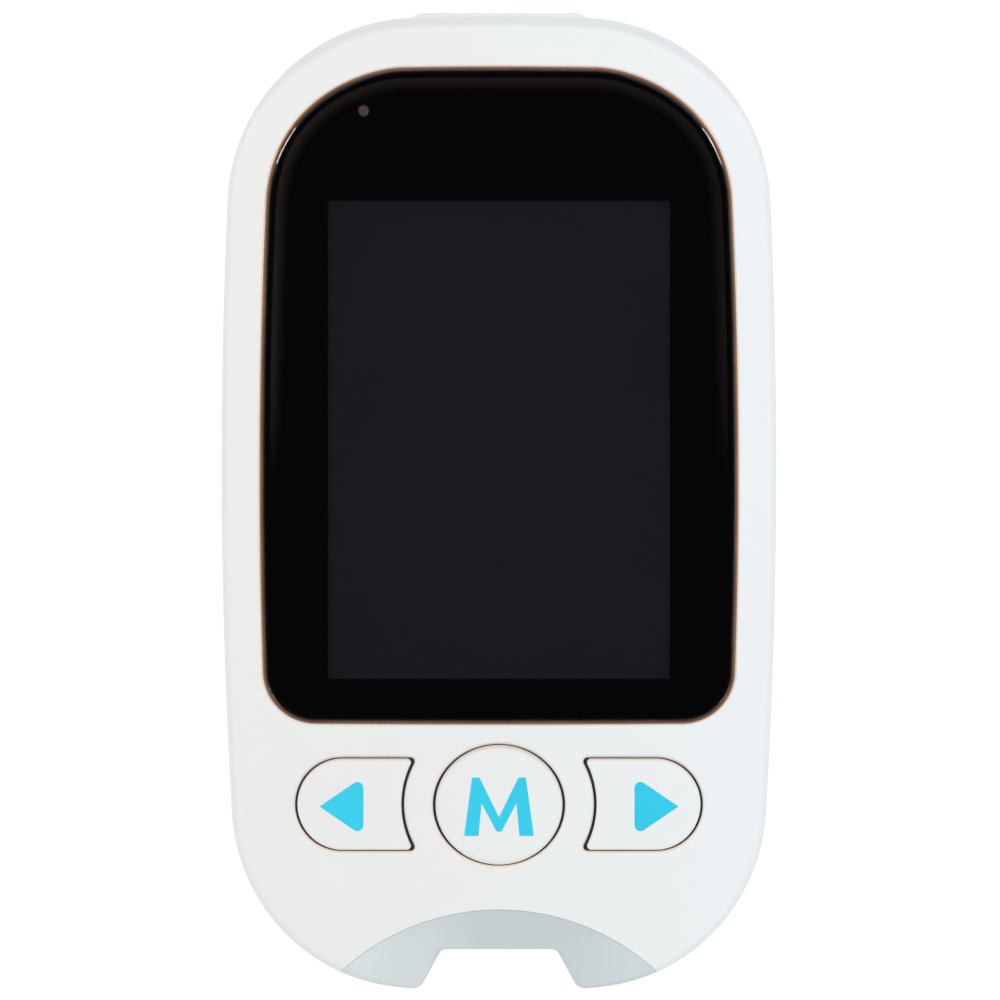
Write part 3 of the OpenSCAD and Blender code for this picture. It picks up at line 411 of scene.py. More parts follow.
def moulded(name, tones_and_painted_light, roughness, grain=0.28, relief=0.006, rim=None):
    """Satin plastic. The tone pairs, (x in mm, colour) across the part, hold painted light and shade on the
    white and grey finishes. Rim is the colour of a painted warm highlight on the edges that face the top end,
    in the row of the keys and near the face only."""
    material, shader, where = finish(name, IOR=1.53, Specular_IOR_Level=0.4)
    spot = split(where)
    wander = remap(noise(where, 25, 2.0), (-3 * MM, 3 * MM))
    across = calc("ADD", spot["X"], wander)
    share = remap(across, source=(-RAMP_HALF * MM, RAMP_HALF * MM))
    # A ramp of colours across X; on the white and grey finishes it is painted light and shade.
    tone_and_painted_light_ramp = add(share.id_data, "ValToRGB", {"Fac": share})
    tone_and_painted_light_ramp.color_ramp.interpolation = "EASE"
    while len(tone_and_painted_light_ramp.color_ramp.elements) < len(tones_and_painted_light):
        tone_and_painted_light_ramp.color_ramp.elements.new(0.5)
    for stop, (x, colour) in zip(tone_and_painted_light_ramp.color_ramp.elements, tones_and_painted_light):
        stop.position = (x + RAMP_HALF) / (2 * RAMP_HALF)
        stop.color = linear(colour)
    paint = tone_and_painted_light_ramp.outputs["Color"]
    # Painted highlight: in the row of the keys, edges that face the top end turn a warm cream, as if warm
    # light fell from that side.
    if rim:
        painted_highlight_share = remap(normals(shader)["Y"], (0.0, 0.9), (0.04, 0.7))
        above = calc("GREATER_THAN", spot["Y"], ROW_LOW * MM)
        below = calc("LESS_THAN", spot["Y"], ROW_HIGH * MM)
        outside = calc("GREATER_THAN", spot["Z"], ROW_DEPTH * MM)
        paint = blend(product(painted_highlight_share, product(above, below, outside)), paint, rim)
    gloss = remap(noise(where, 2.5, 3.0), (roughness - 0.04, roughness + 0.04), (0.3, 0.7))
    sparks = noise(where, grain, 3.0, Roughness=0.6)
    feed(shader, Base_Color=paint, Roughness=gloss, Normal=bumps(sparks, 0.35, relief))
    return material


# These white colours are painted light: warmer on the left, cooler on the right.
white_painted_light_tones = [(-25, "#ECECE9"), (-6, "#EBEDEB"), (8, "#ECF0EE"), (25, "#EDF1F2")]
white_abs = moulded("white moulded ABS", white_painted_light_tones, 0.48, rim="#F2DAC4")
key_abs = moulded("white key cap ABS", white_painted_light_tones, 0.44, grain=0.35, relief=0.004, rim="#DCCBBB")
# These grey colours are painted shade: darkest in the middle of the dish, lighter towards its sides.
grey_painted_shade_tones = [(-15, "#DAE1E1"), (-9, "#D2DADB"), (-1, "#C7D0D1"), (6, "#C8D1D2"), (15, "#D1DADB")]
grey_abs = moulded("grey moulded ABS", grey_painted_shade_tones, 0.4, relief=0.004)
print("moulded finishes:", white_abs.name, key_abs.name, grey_abs.name)

# %% [markdown]
# ### Rose gold trim
# The thin ring round the lens is plastic with a metal skin a few thousandths of a millimetre thick, laid on
# under vacuum and tinted rose gold. It mirrors like metal, softened a little by the lacquer over it. The
# steep flanks are pale, and the nearly flat top is painted a deeper copper, a painted shade where the top
# faces the dark ceiling. A faint long ripple along the ring keeps its highlight from looking ruled.

# %% Rose gold trim
rose_gold, shader, where = finish("rose gold vacuum-metallised trim", Metallic=1.0)
flow = noise(where, 6, 2.0)
pale = blend(flow, "#F6E8D8", "#EBD5BD")
# Painted shade: where the surface faces straight up the colour turns a deeper copper.
pale_and_painted_shade = blend(remap(normals(shader)["Z"], source=(0.94, 0.985)), pale, "#B8917A")
ripple = bumps(noise(where, 0.6, 1.0), 0.15, 0.002)
feed(shader, Base_Color=pale_and_painted_shade, Roughness=remap(flow, (0.2, 0.32)), Normal=ripple)

# %% [markdown]
# ### The lens, its black print and the display
# The lens is clear acrylic with a hard coat: it mirrors about four percent and lets the rest through.
# Behind it lies a sheet printed in dense black ink, and behind the clear window in that sheet the display.
# A switched-off display isn't quite black: it is a cold dark grey, and a faint painted glow lifts it evenly.

# %% Lens, ink and display finishes
clear_acrylic, shader, where = finish("clear hard-coated acrylic", IOR=1.49, Transmission_Weight=1.0,
                                      Base_Color=linear("#FBFBFC"))
feed(shader, Roughness=remap(noise(where, 9, 4.0), (0.02, 0.035), (0.35, 0.75)))

# The ink is printed onto the back of the acrylic, so there is no air between them and no second reflection.
black_ink, shader, where = finish("black screen-printed ink", Specular_IOR_Level=0.0, Roughness=0.6)
feed(shader, Base_Color=blend(noise(where, 0.4, 1.0), "#090809", "#0C0B0D"))

# The faint glow is painted light: the switched-off display glows a little and evenly, also where the mask's
# edges shade it.
display_glass_with_painted_glow, shader, where = finish("display polariser on glass", Specular_IOR_Level=0.05,
                                      Emission_Strength=0.4, Emission_Color=linear("#1B1D21"))
off_grey = blend(noise(where, 20, 1.0), "#17191C", "#191B1E")
feed(shader, Base_Color=off_grey, Roughness=remap(noise(where, 0.2, 0.0), (0.42, 0.5)))

# %% [markdown]
# ### Colour on the keys
# The arrows and the letter for the mode key are moulded through in cyan plastic, flush with the cap, so that
# they never rub off. Their surface has the same satin grain as the cap. Below its white top a key is dark
# brown, a painted shade that deepens the thin line of shade that shows all round it in its gap.

# %% Cyan signs
cyan_tones, skirt_painted_shade_tones = [(-20, "#30D0EE"), (20, "#28CCEA")], [(-20, "#3C2620"), (20, "#36231E")]
cyan_abs = moulded("cyan moulded-in sign", cyan_tones, 0.46, grain=0.35, relief=0.003)
# Painted shade: the key's side below its white top is dark brown, deepening the line of shade in its gap.
key_skirt_painted_shade = moulded("brown key skirt painted shade", skirt_painted_shade_tones, 0.5)

# %% [markdown]
# ## Heights and places
# The heights of the drawing, from the back (0) to the tops of the keys (20), and the places that more than
# one piece shares.

# %% Heights and places
# Key tops, face of the case, seam between the halves, inside of the face, seat of the lens, and the lens.
BODY_T, FACE, SEAM, ROOF, RECESS = 20.0, 19.7, 10.0, 17.8, 18.5
LENS_Z, LENS_TOP = 18.65, 19.88
KEY_Y, NOTCH_Y, HINGE_Y = -30.2, -44.45, -13.2
WALL, TONGUE, SEAM_GAP, CHAMFER = 1.8, 0.9, 0.04, 0.12
# Places of the screws, the light, the arch's circle, the battery bay and the axes of the cells.
SCREWS = [(16.8, 37.0), (-16.8, 37.0), (17.8, -38.0), (-17.8, -38.0)]
STATUS_LIGHT = (-13.4, 38.5)
ARCH_C, ARCH_R = (0, -63.6), 23.05
ARCH_STEPS = 320
BAY_X, BAY_Y = 11.15, (-9, 39.3)
CELL_X, CELL_Z, SPRING_STEEL = 5.6, 6.95, 0.4

# %% [markdown]
# ## The front half of the case
# One moulding carries the whole face: a wall that leans in a little towards the top end, a soft edge, a seat
# for the lens and the openings for the three keys. The lean matters: seen from above it is the slightly
# darker crescent along the top end.

# %% The leaning wall
EDGE_IN, EDGE_DOWN = 0.75, 1.1
SIDE_LEAN, TOP_LEAN = 0.15, 0.7


def smooth(x):
    x = min(1.0, max(0.0, x))
    return x * x * (3 - 2 * x)


def lean(ny):
    """How far the wall has leaned in at the face, by where on the outline it is."""
    return SIDE_LEAN * (1 + ny) if ny < 0 else SIDE_LEAN + TOP_LEAN * smooth((ny - 0.45) / 0.45)


def case_ring(inset, z):
    share = min(1.0, max(0.0, (z - SEAM) / (FACE - EDGE_DOWN - SEAM)))
    line = []
    for x, y, nx, ny in case_line:
        inward = inset + share * lean(ny)
        line.append((x - inward * nx, y - inward * ny, z))
    return line


def front_skin(name):
    """The outer form: a small chamfer at the seam, the leaning wall, and a soft quarter round at the face."""
    foot = SEAM + SEAM_GAP
    rings = [case_ring(CHAMFER, foot), case_ring(0.0, foot + CHAMFER), case_ring(0.0, FACE - EDGE_DOWN)]
    for i in range(1, 11):
        t = radians(9 * i)
        rings.append(case_ring(EDGE_IN * (1 - cos(t)), FACE - EDGE_DOWN * (1 - sin(t))))
    return solid(name, rings)


def front_hollow():
    """The space inside, with the step that the tongue of the back half fits into."""
    step = SEAM + 1.16
    rings = [ring(case_line, TONGUE, SEAM - 1), ring(case_line, TONGUE, step), ring(case_line, WALL, step)]
    rings += [case_ring(WALL, ROOF - 0.9), case_ring(WALL + 0.8, ROOF)]
    return solid("hollow", rings)


# %% Key outlines
def middle_key(inset):
    """A slightly wide round. Its gap is wider at the sides than at the top and bottom."""
    wide, high = 6.53 - 1.4 * inset, 6.0 - 0.4 * inset
    turns = [radians(a) for a in range(0, 360, 3)]
    return outlined([(wide * cos(a), KEY_Y + 0.06 + high * sin(a)) for a in turns])


def side_key(inset, flip=1):
    """A side key: a half round outside, a hollow side that follows the middle key, and two small tips."""
    tip, round_r, hollow_r = 0.4, 4.6 - 0.75 * inset, 8.55 + 1.45 * inset
    round_x, hollow_x = 15.55 - 0.45 * max(0.0, inset), 0.85
    tip_x = hollow_x + sqrt((hollow_r + tip) ** 2 - (round_r - tip) ** 2)
    swing = degrees(atan2(round_r - tip, tip_x - hollow_x))
    upper = arc((round_x, 0), round_r, 0, 90, 30) + [(round_x, round_r)]
    upper += [polar((tip_x, round_r - tip), tip, 90 + (90 + swing) * i / 10) for i in range(11)]
    upper += [polar((hollow_x, 0), hollow_r, swing * (1 - i / 16)) for i in range(1, 16)]
    whole = upper + [(hollow_x + hollow_r, 0)] + [(x, -y) for x, y in reversed(upper[1:])]
    return outlined([(flip * x, KEY_Y + 0.12 + y * (1 + 0.07 * inset)) for x, y in whole])


# %% Cutting the front half
front = front_skin("front_case")
hollow = front_hollow()
for x, y in SCREWS:
    cut(hollow, "post", disc(x, y, 2.2), SEAM, FACE)
carve(front, hollow)
carve(front, prism("lens seat", lens_line, walls(RECESS, FACE, high=-0.05, over=1), inset=-0.03))
carve(front, slab(17.9, -18.7, 30.6, ROOF - 1, RECESS + 0.02, corner=0.6))
cut(front, "light hole", disc(*STATUS_LIGHT, 0.65), ROOF - 1, RECESS + 0.02)
for line in (middle_key(0), side_key(0), side_key(0, -1)):
    cut(front, "key hole", line, ROOF - 1, FACE, high=-0.36, over=1, steps=8)
cut(front, "arch", disc(*ARCH_C, ARCH_R + 0.02, ARCH_STEPS), SEAM - 1, FACE, high=-0.04, over=1)
place(front, white_abs, "white_shell", "front_shell")

# %% [markdown]
# ## The grey port piece
# The strip port is the part that wears, so on the real meter it is a piece of its own: a grey arch with a
# shallow dish that leads the finger and the strip to the notch. Its edges round most along the notch's sides,
# and a narrow cove runs along the arch, where the dish comes up to meet the white case.

# %% The dish and the notch
DISH_R, DISH_DEPTH = 95, 0.8
SLOPE, NOTCH_X, FILLET_R, TOE_R = 28.6, 5.68, 0.85, 1.3


def dish(x):
    """Height of the dished face."""
    return min(FACE, FACE - DISH_DEPTH + DISH_R - sqrt(DISH_R ** 2 - min(abs(x), 90) ** 2))


# The flank runs down from the floor's corner. The toe is the round end that brings it onto the outline.
slope = radians(SLOPE)
flank, flank_n = Vector((sin(slope), -cos(slope))), Vector((cos(slope), sin(slope)))
corner = Vector((NOTCH_X, NOTCH_Y))
fillet_c = corner + FILLET_R * Vector((-(1 - sin(slope)) / cos(slope), -1))
toe_p = corner + TOE_R * flank_n
to_toe = toe_p - Vector(bottom_c)
ahead = to_toe.dot(flank)
reach = -ahead + sqrt(ahead ** 2 - to_toe.dot(to_toe) + (bottom_r - TOE_R) ** 2)
toe_c = toe_p + reach * flank
toe_start, toe_stop = 180 + SLOPE, bearing(bottom_c, toe_c) + 360 - 12
notch_half = [polar(fillet_c, FILLET_R, 90 - (90 - SLOPE) * i / 10) for i in range(11)]
notch_half += [polar(toe_c, TOE_R, toe_start + (toe_stop - toe_start) * i / 16) for i in range(17)]
notch_half.append(polar(notch_half[-1], 8, toe_stop))
notch_line = mirrored(notch_half)

# A wall of even thickness stands behind the notch, in both halves of the case.
wall_half = [polar(fillet_c, FILLET_R + 1.5, 90 - (90 - SLOPE) * i / 6) for i in range(7)]
wall_half.append(tuple(corner + 1.5 * flank_n + 12 * flank))
notch_wall = mirrored(wall_half)


def notch_tool():
    """The notch as a cutter. Its flanks lean back near the floor's corners, and that dies out at the toes."""
    def level(out, down):
        points = []
        for x, y, nx, ny in notch_line:
            draft = 0.06 + 0.36 * smooth((abs(nx) - 0.1) / 0.6) * smooth((y + 48.3) / 3.2)
            points.append((x + out * draft * nx, y + out * draft * ny, dish(x) - down * draft))
        return points
    steps = [(0.0, 7.0), (0.78, 0.5), (0.85, 0.24), (0.93, 0.08), (1.0, 0.0)]
    return solid("notch", [ring(notch_line, 0, -1)] + [level(*step) for step in steps] + [level(1.0, -5.0)])


# %% Cutting the port piece
port = front_skin("strip_port_piece")
arch_line = disc(*ARCH_C, ARCH_R, ARCH_STEPS)
carve(port, prism("arch", arch_line, walls(SEAM - 1, FACE, high=0.04)), "INTERSECT")
inner = front_hollow()
cut(inner, "notch wall", notch_wall, 0, FACE)
carve(port, inner)
bowl = [(x / 4, dish(x / 4)) for x in range(-56, 57)]
bowl = [(x, z if z < FACE else z + 0.02) for x, z in bowl] + [(14, 24), (-14, 24)]
hollowing = solid("dish", [[(x, y, z) for x, z in bowl] for y in (-30, -70)])
COVE_W, COVE_DEPTH = 3.4, 0.87
cove = [(COVE_W * (1 - i / 12), FACE - 0.03 - COVE_DEPTH * (1 - (i / 12) ** 2)) for i in range(13)]
carve(hollowing, prism("cove", arch_line, cove + [(0, 30)]), "INTERSECT")
carve(port, hollowing)
carve(port, notch_tool())
carve(port, slab(3.7, NOTCH_Y - 3, NOTCH_Y + 4, 11.75, 13.05, corner=0.05))
cut(port, "lead-in", oblong(-4.7, 4.7, NOTCH_Y - 3, NOTCH_Y + 0.4), 11.05, 13.75)
place(port, grey_abs, "grey_plastic", "strip_port_surround")

# %% [markdown]
# ## Trim, lens, mask and display
# The trim is a narrow bead with a steep outer flank and a nearly flat top. The lens is flat in its middle and
# rolls down over its last three millimetres, as polished lenses do, so its rim picks up a little light from
# the side while its middle stays black. Round the two top corners the rim drops a little more.

# %% Trim ring
# (inset, height) pairs from the seat up the outer flank, over the top and down again.
bead = [(-0.04, RECESS), (-0.04, FACE - 0.04), (-0.02, FACE - 0.01), (0.05, FACE + 0.032),
        (0.095, FACE + 0.0535), (0.14, FACE + 0.0625), (0.21, FACE + 0.0745), (0.34, FACE + 0.092),
        (0.43, FACE + 0.094), (0.43, RECESS)]
trim = solid("rose_gold_trim", [ring(lens_line, inset, z) for inset, z in bead], loop=True)
place(trim, rose_gold, "rose_trim", "trim_ring", crease=12)


# %% Lens
def lens_ring(inset, drop, extra=0.0):
    """One line round the lens. Round its two top corners the rim drops a little more, by extra."""
    line = []
    for x, y, nx, ny in lens_line:
        corner = smooth((abs(nx) * ny - 0.18) / 0.2)
        line.append((x - inset * nx, y - inset * ny, LENS_TOP - drop - extra * corner))
    return line


# (inset, drop, extra drop at the top corners) from the lens's underside over its rim to the flat middle.
roll = [(0.44, LENS_TOP - LENS_Z), (0.44, 0.16, 0.0208), (0.47, 0.149, 0.0218), (0.5, 0.141, 0.0198),
        (0.54, 0.134, 0.0135), (0.57, 0.1295, 0.008), (0.6, 0.125, 0.0035), (0.63, 0.1217), (0.7, 0.114),
        (0.8, 0.1035), (0.9, 0.0935), (1.1, 0.0757), (1.4, 0.053), (1.7, 0.0347), (2.0, 0.0203),
        (2.3, 0.0101), (2.6, 0.0038), (2.9, 0.0007), (3.2, 0)]
lens = solid("screen_lens", [lens_ring(*step) for step in roll])
place(lens, clear_acrylic, "clear_lens", "display_lens", crease=60)

# %% Black printed mask
mask = prism("black_printed_mask", lens_line, walls(RECESS, LENS_Z + 0.02), inset=0.45)
carve(mask, slab(16.9, -17.7, 29.6, RECESS - 1, LENS_Z + 1, corner=0.15))
cut(mask, "dot", disc(*STATUS_LIGHT, 0.6), RECESS - 1, LENS_Z + 1)
place(mask, black_ink, "black_print", "lens_mask")

# %% [markdown]
# ## Keys
# Each key is a flat cap with a small round edge and a wider rim below, which keeps it in the case. The sign
# is cut out of the cap and filled with a second plastic, so it is a piece of its own that rides with the key.

# %% Signs
TIP_X, BACK_X, HALF_H, CORNER_R = 17.7, 13.4, 2.98, 0.6
arrow_slope = atan2(HALF_H, 4.35)
corner_y = HALF_H - CORNER_R * (1 + sin(arrow_slope)) / cos(arrow_slope)
corner_c, corner_turn = (BACK_X + CORNER_R, corner_y), 90 + degrees(arrow_slope)
arrow_half = [polar(corner_c, CORNER_R, 180 - corner_turn * i / 10) for i in range(11)]
arrow = arrow_half + [(TIP_X, 0.04), (TIP_X, -0.04)] + [(x, -y) for x, y in reversed(arrow_half)]
arrow = [(x, y - 0.12) for x, y in arrow]
letter_half = [(0.25, -2.6), (1.72, 0.18), (2.02, -3.03), (3.45, -3.03), (2.66, 2.76), (1.93, 2.76)]
letter = letter_half + [(0, -1.16)] + [(-x, y) for x, y in reversed(letter_half)]
signs = {"m": letter, "right": arrow, "left": [(-x, y) for x, y in arrow]}

# %% Caps with their signs
# The cap, the skirt under it and the rim at its foot, each by its gap to the key hole. The rim reaches under.
CAP_GAP, SKIRT_GAP, RIM_GAP, SKIRT_Z, SIGN_DEPTH = 0.18, 0.04, -0.7, FACE - 0.42, 0.3
keys = [("m", middle_key, 0.5), ("right", side_key, 0.3), ("left", lambda inset: side_key(inset, -1), 0.3)]
for name, outline, soft in keys:
    cap = prism("key_cap_" + name, outline(CAP_GAP), walls(17.4, BODY_T, high=soft, steps=8))
    carve(cap, prism("skirt", outline(SKIRT_GAP), walls(17.3, SKIRT_Z)), "UNION")
    carve(cap, prism("rim", outline(RIM_GAP), walls(16.7, 17.5)), "UNION")
    sign_line = outlined([(x, y + KEY_Y) for x, y in signs[name]])
    cut(cap, "sign seat", sign_line, BODY_T - SIGN_DEPTH, BODY_T + 1)
    place(cap, key_abs, "key_cap", "key_" + name, body=f"key_{name}_body")
    # Faces below the white top take the dark brown painted shade, which shows only in the gap round the key.
    cap.data.materials.append(key_skirt_painted_shade)
    for face in cap.data.polygons:
        face.material_index = int(face.center.z < (SKIRT_Z + 0.02) * MM)
    sign = prism("key_sign_" + name, sign_line, walls(BODY_T - SIGN_DEPTH, BODY_T - 0.005))
    place(sign, cyan_abs, "cyan_print", "sign_" + name, body=f"key_{name}_body")

# %% [markdown]
# ## The back half of the case
# The back half holds the two cells under a hinged door, so its floor is mostly opening. It is made like the
# front: one form, hollowed. The hollow first loses the places of posts and frames, so that they stay.

# %% The form of the back half
BACK_IN, BACK_UP, FULLNESS = 3.4, 5, 0.91
PIN_Z, DOOR_GAP_X = 0.75, 12.9


def back_form(name, skin=0.0):
    """The outer form with its full, round back edge, or with skin the hollow that far inside it."""
    rings = []
    for i in range(15):
        t = radians(90 * i / 14)
        inward, upward = 1 - sin(t) ** FULLNESS, 1 - cos(t) ** FULLNESS
        rings.append(ring(case_line, skin + BACK_IN * inward, skin + (BACK_UP - skin) * upward))
    if skin:
        return solid(name, rings + [ring(case_line, skin, SEAM + 1)])
    rings.append(ring(case_line, 0, SEAM - SEAM_GAP - CHAMFER))
    return solid(name, rings + [ring(case_line, CHAMFER, SEAM - SEAM_GAP)])


def hinge_rod(half, radius):
    return laid(turned("rod", [(radius, -half), (radius, half)], steps=32), 90, "Y", 0, HINGE_Y, PIN_Z)


# %% Hollow, bay and tongue
rear = back_form("rear_case")
hollow = back_form("hollow", WALL)
cut(hollow, "notch wall", notch_wall, 0, 12)
for x, y in SCREWS:
    cut(hollow, "post", disc(x, y, 2.4), 0, 12)
carve(hollow, slab(13.9, HINGE_Y - 2.4, 40.3, 0, 3.2))
carve(hollow, slab(13.9, BAY_Y[1], 48, 0, 12))
carve(hollow, slab(6.3, NOTCH_Y, -29.2, 0, 2.4))
carve(rear, hollow)
profile = [(TONGUE + 0.06, 9.5), (TONGUE + 0.06, 11.1), (WALL - 0.01, 11.1), (WALL - 0.01, 9.5)]
tongue = solid("tongue", [ring(case_line, inset, z) for inset, z in profile], loop=True)
cut(tongue, "arch", disc(*ARCH_C, ARCH_R + WALL - 0.3, 160), 8, 12)
carve(rear, tongue, "UNION")
carve(rear, slab(BAY_X + 1, BAY_Y[0] - 1, 40.3, 1.7, 13.5, corner=0.6, high=0.2), "UNION")

# %% Openings in the back
cut(rear, "notch", notch_line, 0, 12, low=-0.1, under=1)
carve(rear, slab(BAY_X, *BAY_Y, -1, 12.5, corner=0.8))
carve(rear, slab(DOOR_GAP_X, HINGE_Y, 60, 0, 1.7, corner=0.3, low=-0.12, under=1))
carve(rear, slab(DOOR_GAP_X, 40.3, 60, -1, 8.3, corner=0.3))
carve(rear, hinge_rod(DOOR_GAP_X, 1.05))
carve(rear, hinge_rod(14.3, 0.55))
for x, y in SCREWS:
    cut(rear, "counterbore", disc(x, y, 2.1), 0, 2.8, low=-0.18, under=1)
    cut(rear, "screw hole", disc(x, y, 1.15, 32), 2, 12)
for x in (-CELL_X, CELL_X):
    carve(rear, block(x - 1.3, x + 1.3, -9.02, -8.4, 12, 14))
for i in range(6):
    cut(rear, "sound hole", disc(*polar((11.6, -32.2), 1.7, 60 * i), 0.5, 24), 0, 3, low=-0.1, under=1)
carve(rear, slab(5.6, -42.4, -30.9, 0, 1.3, corner=0.9, low=-0.12, under=1))
carve(rear, slab(1.5, -40.4, -32.9, 0.5, 3.4, corner=0.2))
place(rear, white_abs, "white_shell", "rear_shell")

# %% [markdown]
# ## The battery door
# The door is the missing piece of the back: the same form, cut to the opening, thinned from inside. It turns
# on a bead along its lower end with a pin at each side, and a thumbnail lifts it by the lip at the top end.
# The five grooves tell the thumb where to push, and the shallow field takes a rating label, which is blank.

# %% Door panel
DOOR_X, GROOVE = 12.6, 0.6
door = back_form("battery_door_panel")
carve(door, slab(DOOR_X, HINGE_Y, 60, 0, 8, corner=0.3, low=0.12, high=0.1), "INTERSECT")
lip = mirrored([(9.7, 47.0), (8.8, 47.75), (8.35, 48.1), (7.95, 48.27), (7.4, 48.34)])
carve(door, prism("lip", lip, walls(4, 7, low=0.08, high=0.1)), "UNION")
carve(door, back_form("inside", 1.4))
carve(door, slab(10, -6, 28, -1, 0.1, corner=1.0))
for i in range(5):
    y = 38 + 1.3 * i
    carve(door, slab(6.5, y, y + GROOVE, 0, 0.35, corner=0.28, low=-0.1, under=1))
carve(door, hinge_rod(DOOR_X, PIN_Z), "UNION")
carve(door, hinge_rod(14.1, 0.5), "UNION")
place(door, white_abs, "white_shell", "battery_door", body="door")

# %% [markdown]
# ### Blank rating label
# A matt white polyester film, printed nowhere. Its coating is a little rougher than the plastic around it.

# %% Label
label_film, shader, where = finish("matt white polyester film", IOR=1.57)
coat = noise(where, 0.5, 4.0)
paper_tone = blend(coat, "#F4F4F2", "#EDEDEB")
feed(shader, Base_Color=paper_tone, Roughness=remap(coat, (0.55, 0.7)))
label = prism("blank_label", oblong(-9.9, 9.9, -5.9, 27.9, 1.0), walls(0.0, 0.095, low=0.03))
place(label, label_film, "label_white", "door_label", body="door")

# %% [markdown]
# ## The strip ejector
# After a test the thumb slides a small ribbed pad towards the notch, and a pusher inside throws the used
# strip out, so that nobody has to touch it. The pad is a shallow oblong with three grooves across.

# %% Ejector pad
pad = slab(5.3, -37.6, -31.2, 0.1, 1.0, corner=0.8, low=0.22, high=0.1)
pad.name = "ejector_pad"
for i in (-1, 0, 1):
    y = -34.4 + 1.6 * i
    carve(pad, slab(4.3, y - GROOVE / 2, y + GROOVE / 2, 0.1, 0.4, corner=0.28, low=-0.12, under=1))
carve(pad, slab(1.2, -35.6, -33.2, 0.9, 5.5), "UNION")
place(pad, grey_abs, "grey_plastic", "ejector_slider", body="ejector")

# %% [markdown]
# ## Metal finishes
# Cold-rolled steel sheet, nickel plate and screw steel all mirror, and differ in their grain: sheet shows the
# faint lines of the rolls, plated wire is nearly plain, and a zinc-plated screw is blotched and duller.


# %% Metals
def metal(name, light, dark, roughness, grain, stretch=1.0):
    """A metal with a grain that can be stretched along Y, as rolling does."""
    material, shader, where = finish(name, Metallic=1.0)
    scaled = add(where.id_data, "Mapping", {"Vector": where, "Scale": (1.0, 1.0 / stretch, 1.0)})
    lines = noise(scaled.outputs["Vector"], grain, 3.0)
    gloss = remap(lines, (roughness - 0.07, roughness + 0.07))
    relief = bumps(lines, 0.2, 0.004)
    feed(shader, Base_Color=blend(lines, light, dark), Roughness=gloss, Normal=relief)
    return material


nickel_plate = metal("bright nickel plate on spring steel", "#D8D5CC", "#C9C5BB", 0.24, 0.5)
rolled_steel = metal("rolled stainless sheet", "#CFCFCD", "#BDBDBB", 0.3, 0.12, stretch=14)
zinc_screw = metal("zinc-plated screw steel", "#BFC1C3", "#A6A8AB", 0.38, 0.35)
contact_gold = metal("gold-flashed contact", "#E6C27A", "#D9B066", 0.26, 0.3)

# %% [markdown]
# ## Screws
# Four pan-head screws in deep pockets hold the halves. One is turned and cut, and copied for three places.

# %% One screw, four places
THREAD, PITCH = 3.2, 0.8
profile = [(1.45, 1.4), (1.68, 1.52), (1.8, 1.75), (1.8, 2.62), (1.7, 2.8), (1.0, 2.8)]
for i in range(13):
    root = THREAD + PITCH * i
    profile += [(0.82, root), (1.0, root + 0.3), (1.0, root + 0.4)]
screw = turned("case_screw_1", profile + [(0.5, 13.8)], steps=36)
for long, narrow in ((1.1, 0.22), (0.22, 1.1)):
    carve(screw, slab(long, -narrow, narrow, 1.4, 2.2, corner=0.1, low=-0.06, under=1))
carve(screw, turned("recess", [(0.5, 0.5), (0.5, 1.9), (0.2, 2.4)], steps=24))
screws = [screw]
for i in (2, 3, 4):
    screws.append(bpy.data.objects.new(f"case_screw_{i}", screw.data.copy()))
    bpy.context.scene.collection.objects.link(screws[-1])
for one, (x, y) in zip(screws, SCREWS):
    one.data.transform(Matrix.Translation((x, y, 0)))
    place(one, zinc_screw, "screw_steel", *(["case_screws"] if one is screw else []))

# %% [markdown]
# ## Cells and their contacts
# Two AAA cells lie side by side, one each way round. Each is a steel can in a shrunk plastic sleeve, whose
# rolled edges leave the nickel ends bare. The sleeve has plain bands of colour and no print. The springs are
# wound wire: a helix whose first and last turns lie flat, so that it stands square on its plate.

# %% Sleeve of a cell
CELL_MIDDLE_Y, BAND_Y = 15.15, 9.25
sleeve, shader, where = finish("shrunk printed sleeve", IOR=1.5, Coat_Weight=0.3, Coat_Roughness=0.12)
# The cells lie head to tail, so the copper end, at the plus pole, changes with the side of the bay.
along = split(where)
from_middle = calc("SUBTRACT", along["Y"], CELL_MIDDLE_Y * MM)
toward_minus = calc("MULTIPLY", from_middle, calc("SIGN", along["X"]))
plus_end = calc("LESS_THAN", toward_minus, -BAND_Y * MM)
wear = remap(noise(where, 1.5, 4.0), (0.24, 0.4))
feed(shader, Base_Color=blend(plus_end, "#23262B", "#B9773F"), Roughness=wear)

# %% Two cells
can = [(3.4, 0.25), (3.8, 0.05), (4.5, 0.0), (4.95, 0.3), (5.0, 0.8), (5.0, 42.9), (4.8, 43.3), (4.3, 43.5),
       (2.75, 43.5), (2.6, 43.6), (2.6, 44.3), (2.4, 44.5)]
skin = [(4.45, -0.02), (4.9, 0.05), (5.18, 0.25), (5.25, 0.55), (5.25, 42.95), (5.18, 43.25), (4.9, 43.5),
        (4.3, 43.56), (4.3, 43.46), (5.02, 42.9), (5.02, 0.7), (4.45, 0.1)]
for name, x, y, angle in (("left", -CELL_X, -5.6, -90), ("right", CELL_X, 35.9, 90)):
    steel = laid(turned("cell_can_" + name, can), angle, "X", x, y, CELL_Z)
    place(steel, nickel_plate, "contact_nickel", "battery_cell_" + name)
    wrap = laid(turned("cell_sleeve_" + name, skin, loop=True), angle, "X", x, y, CELL_Z)
    place(wrap, sleeve, "cell_jacket")


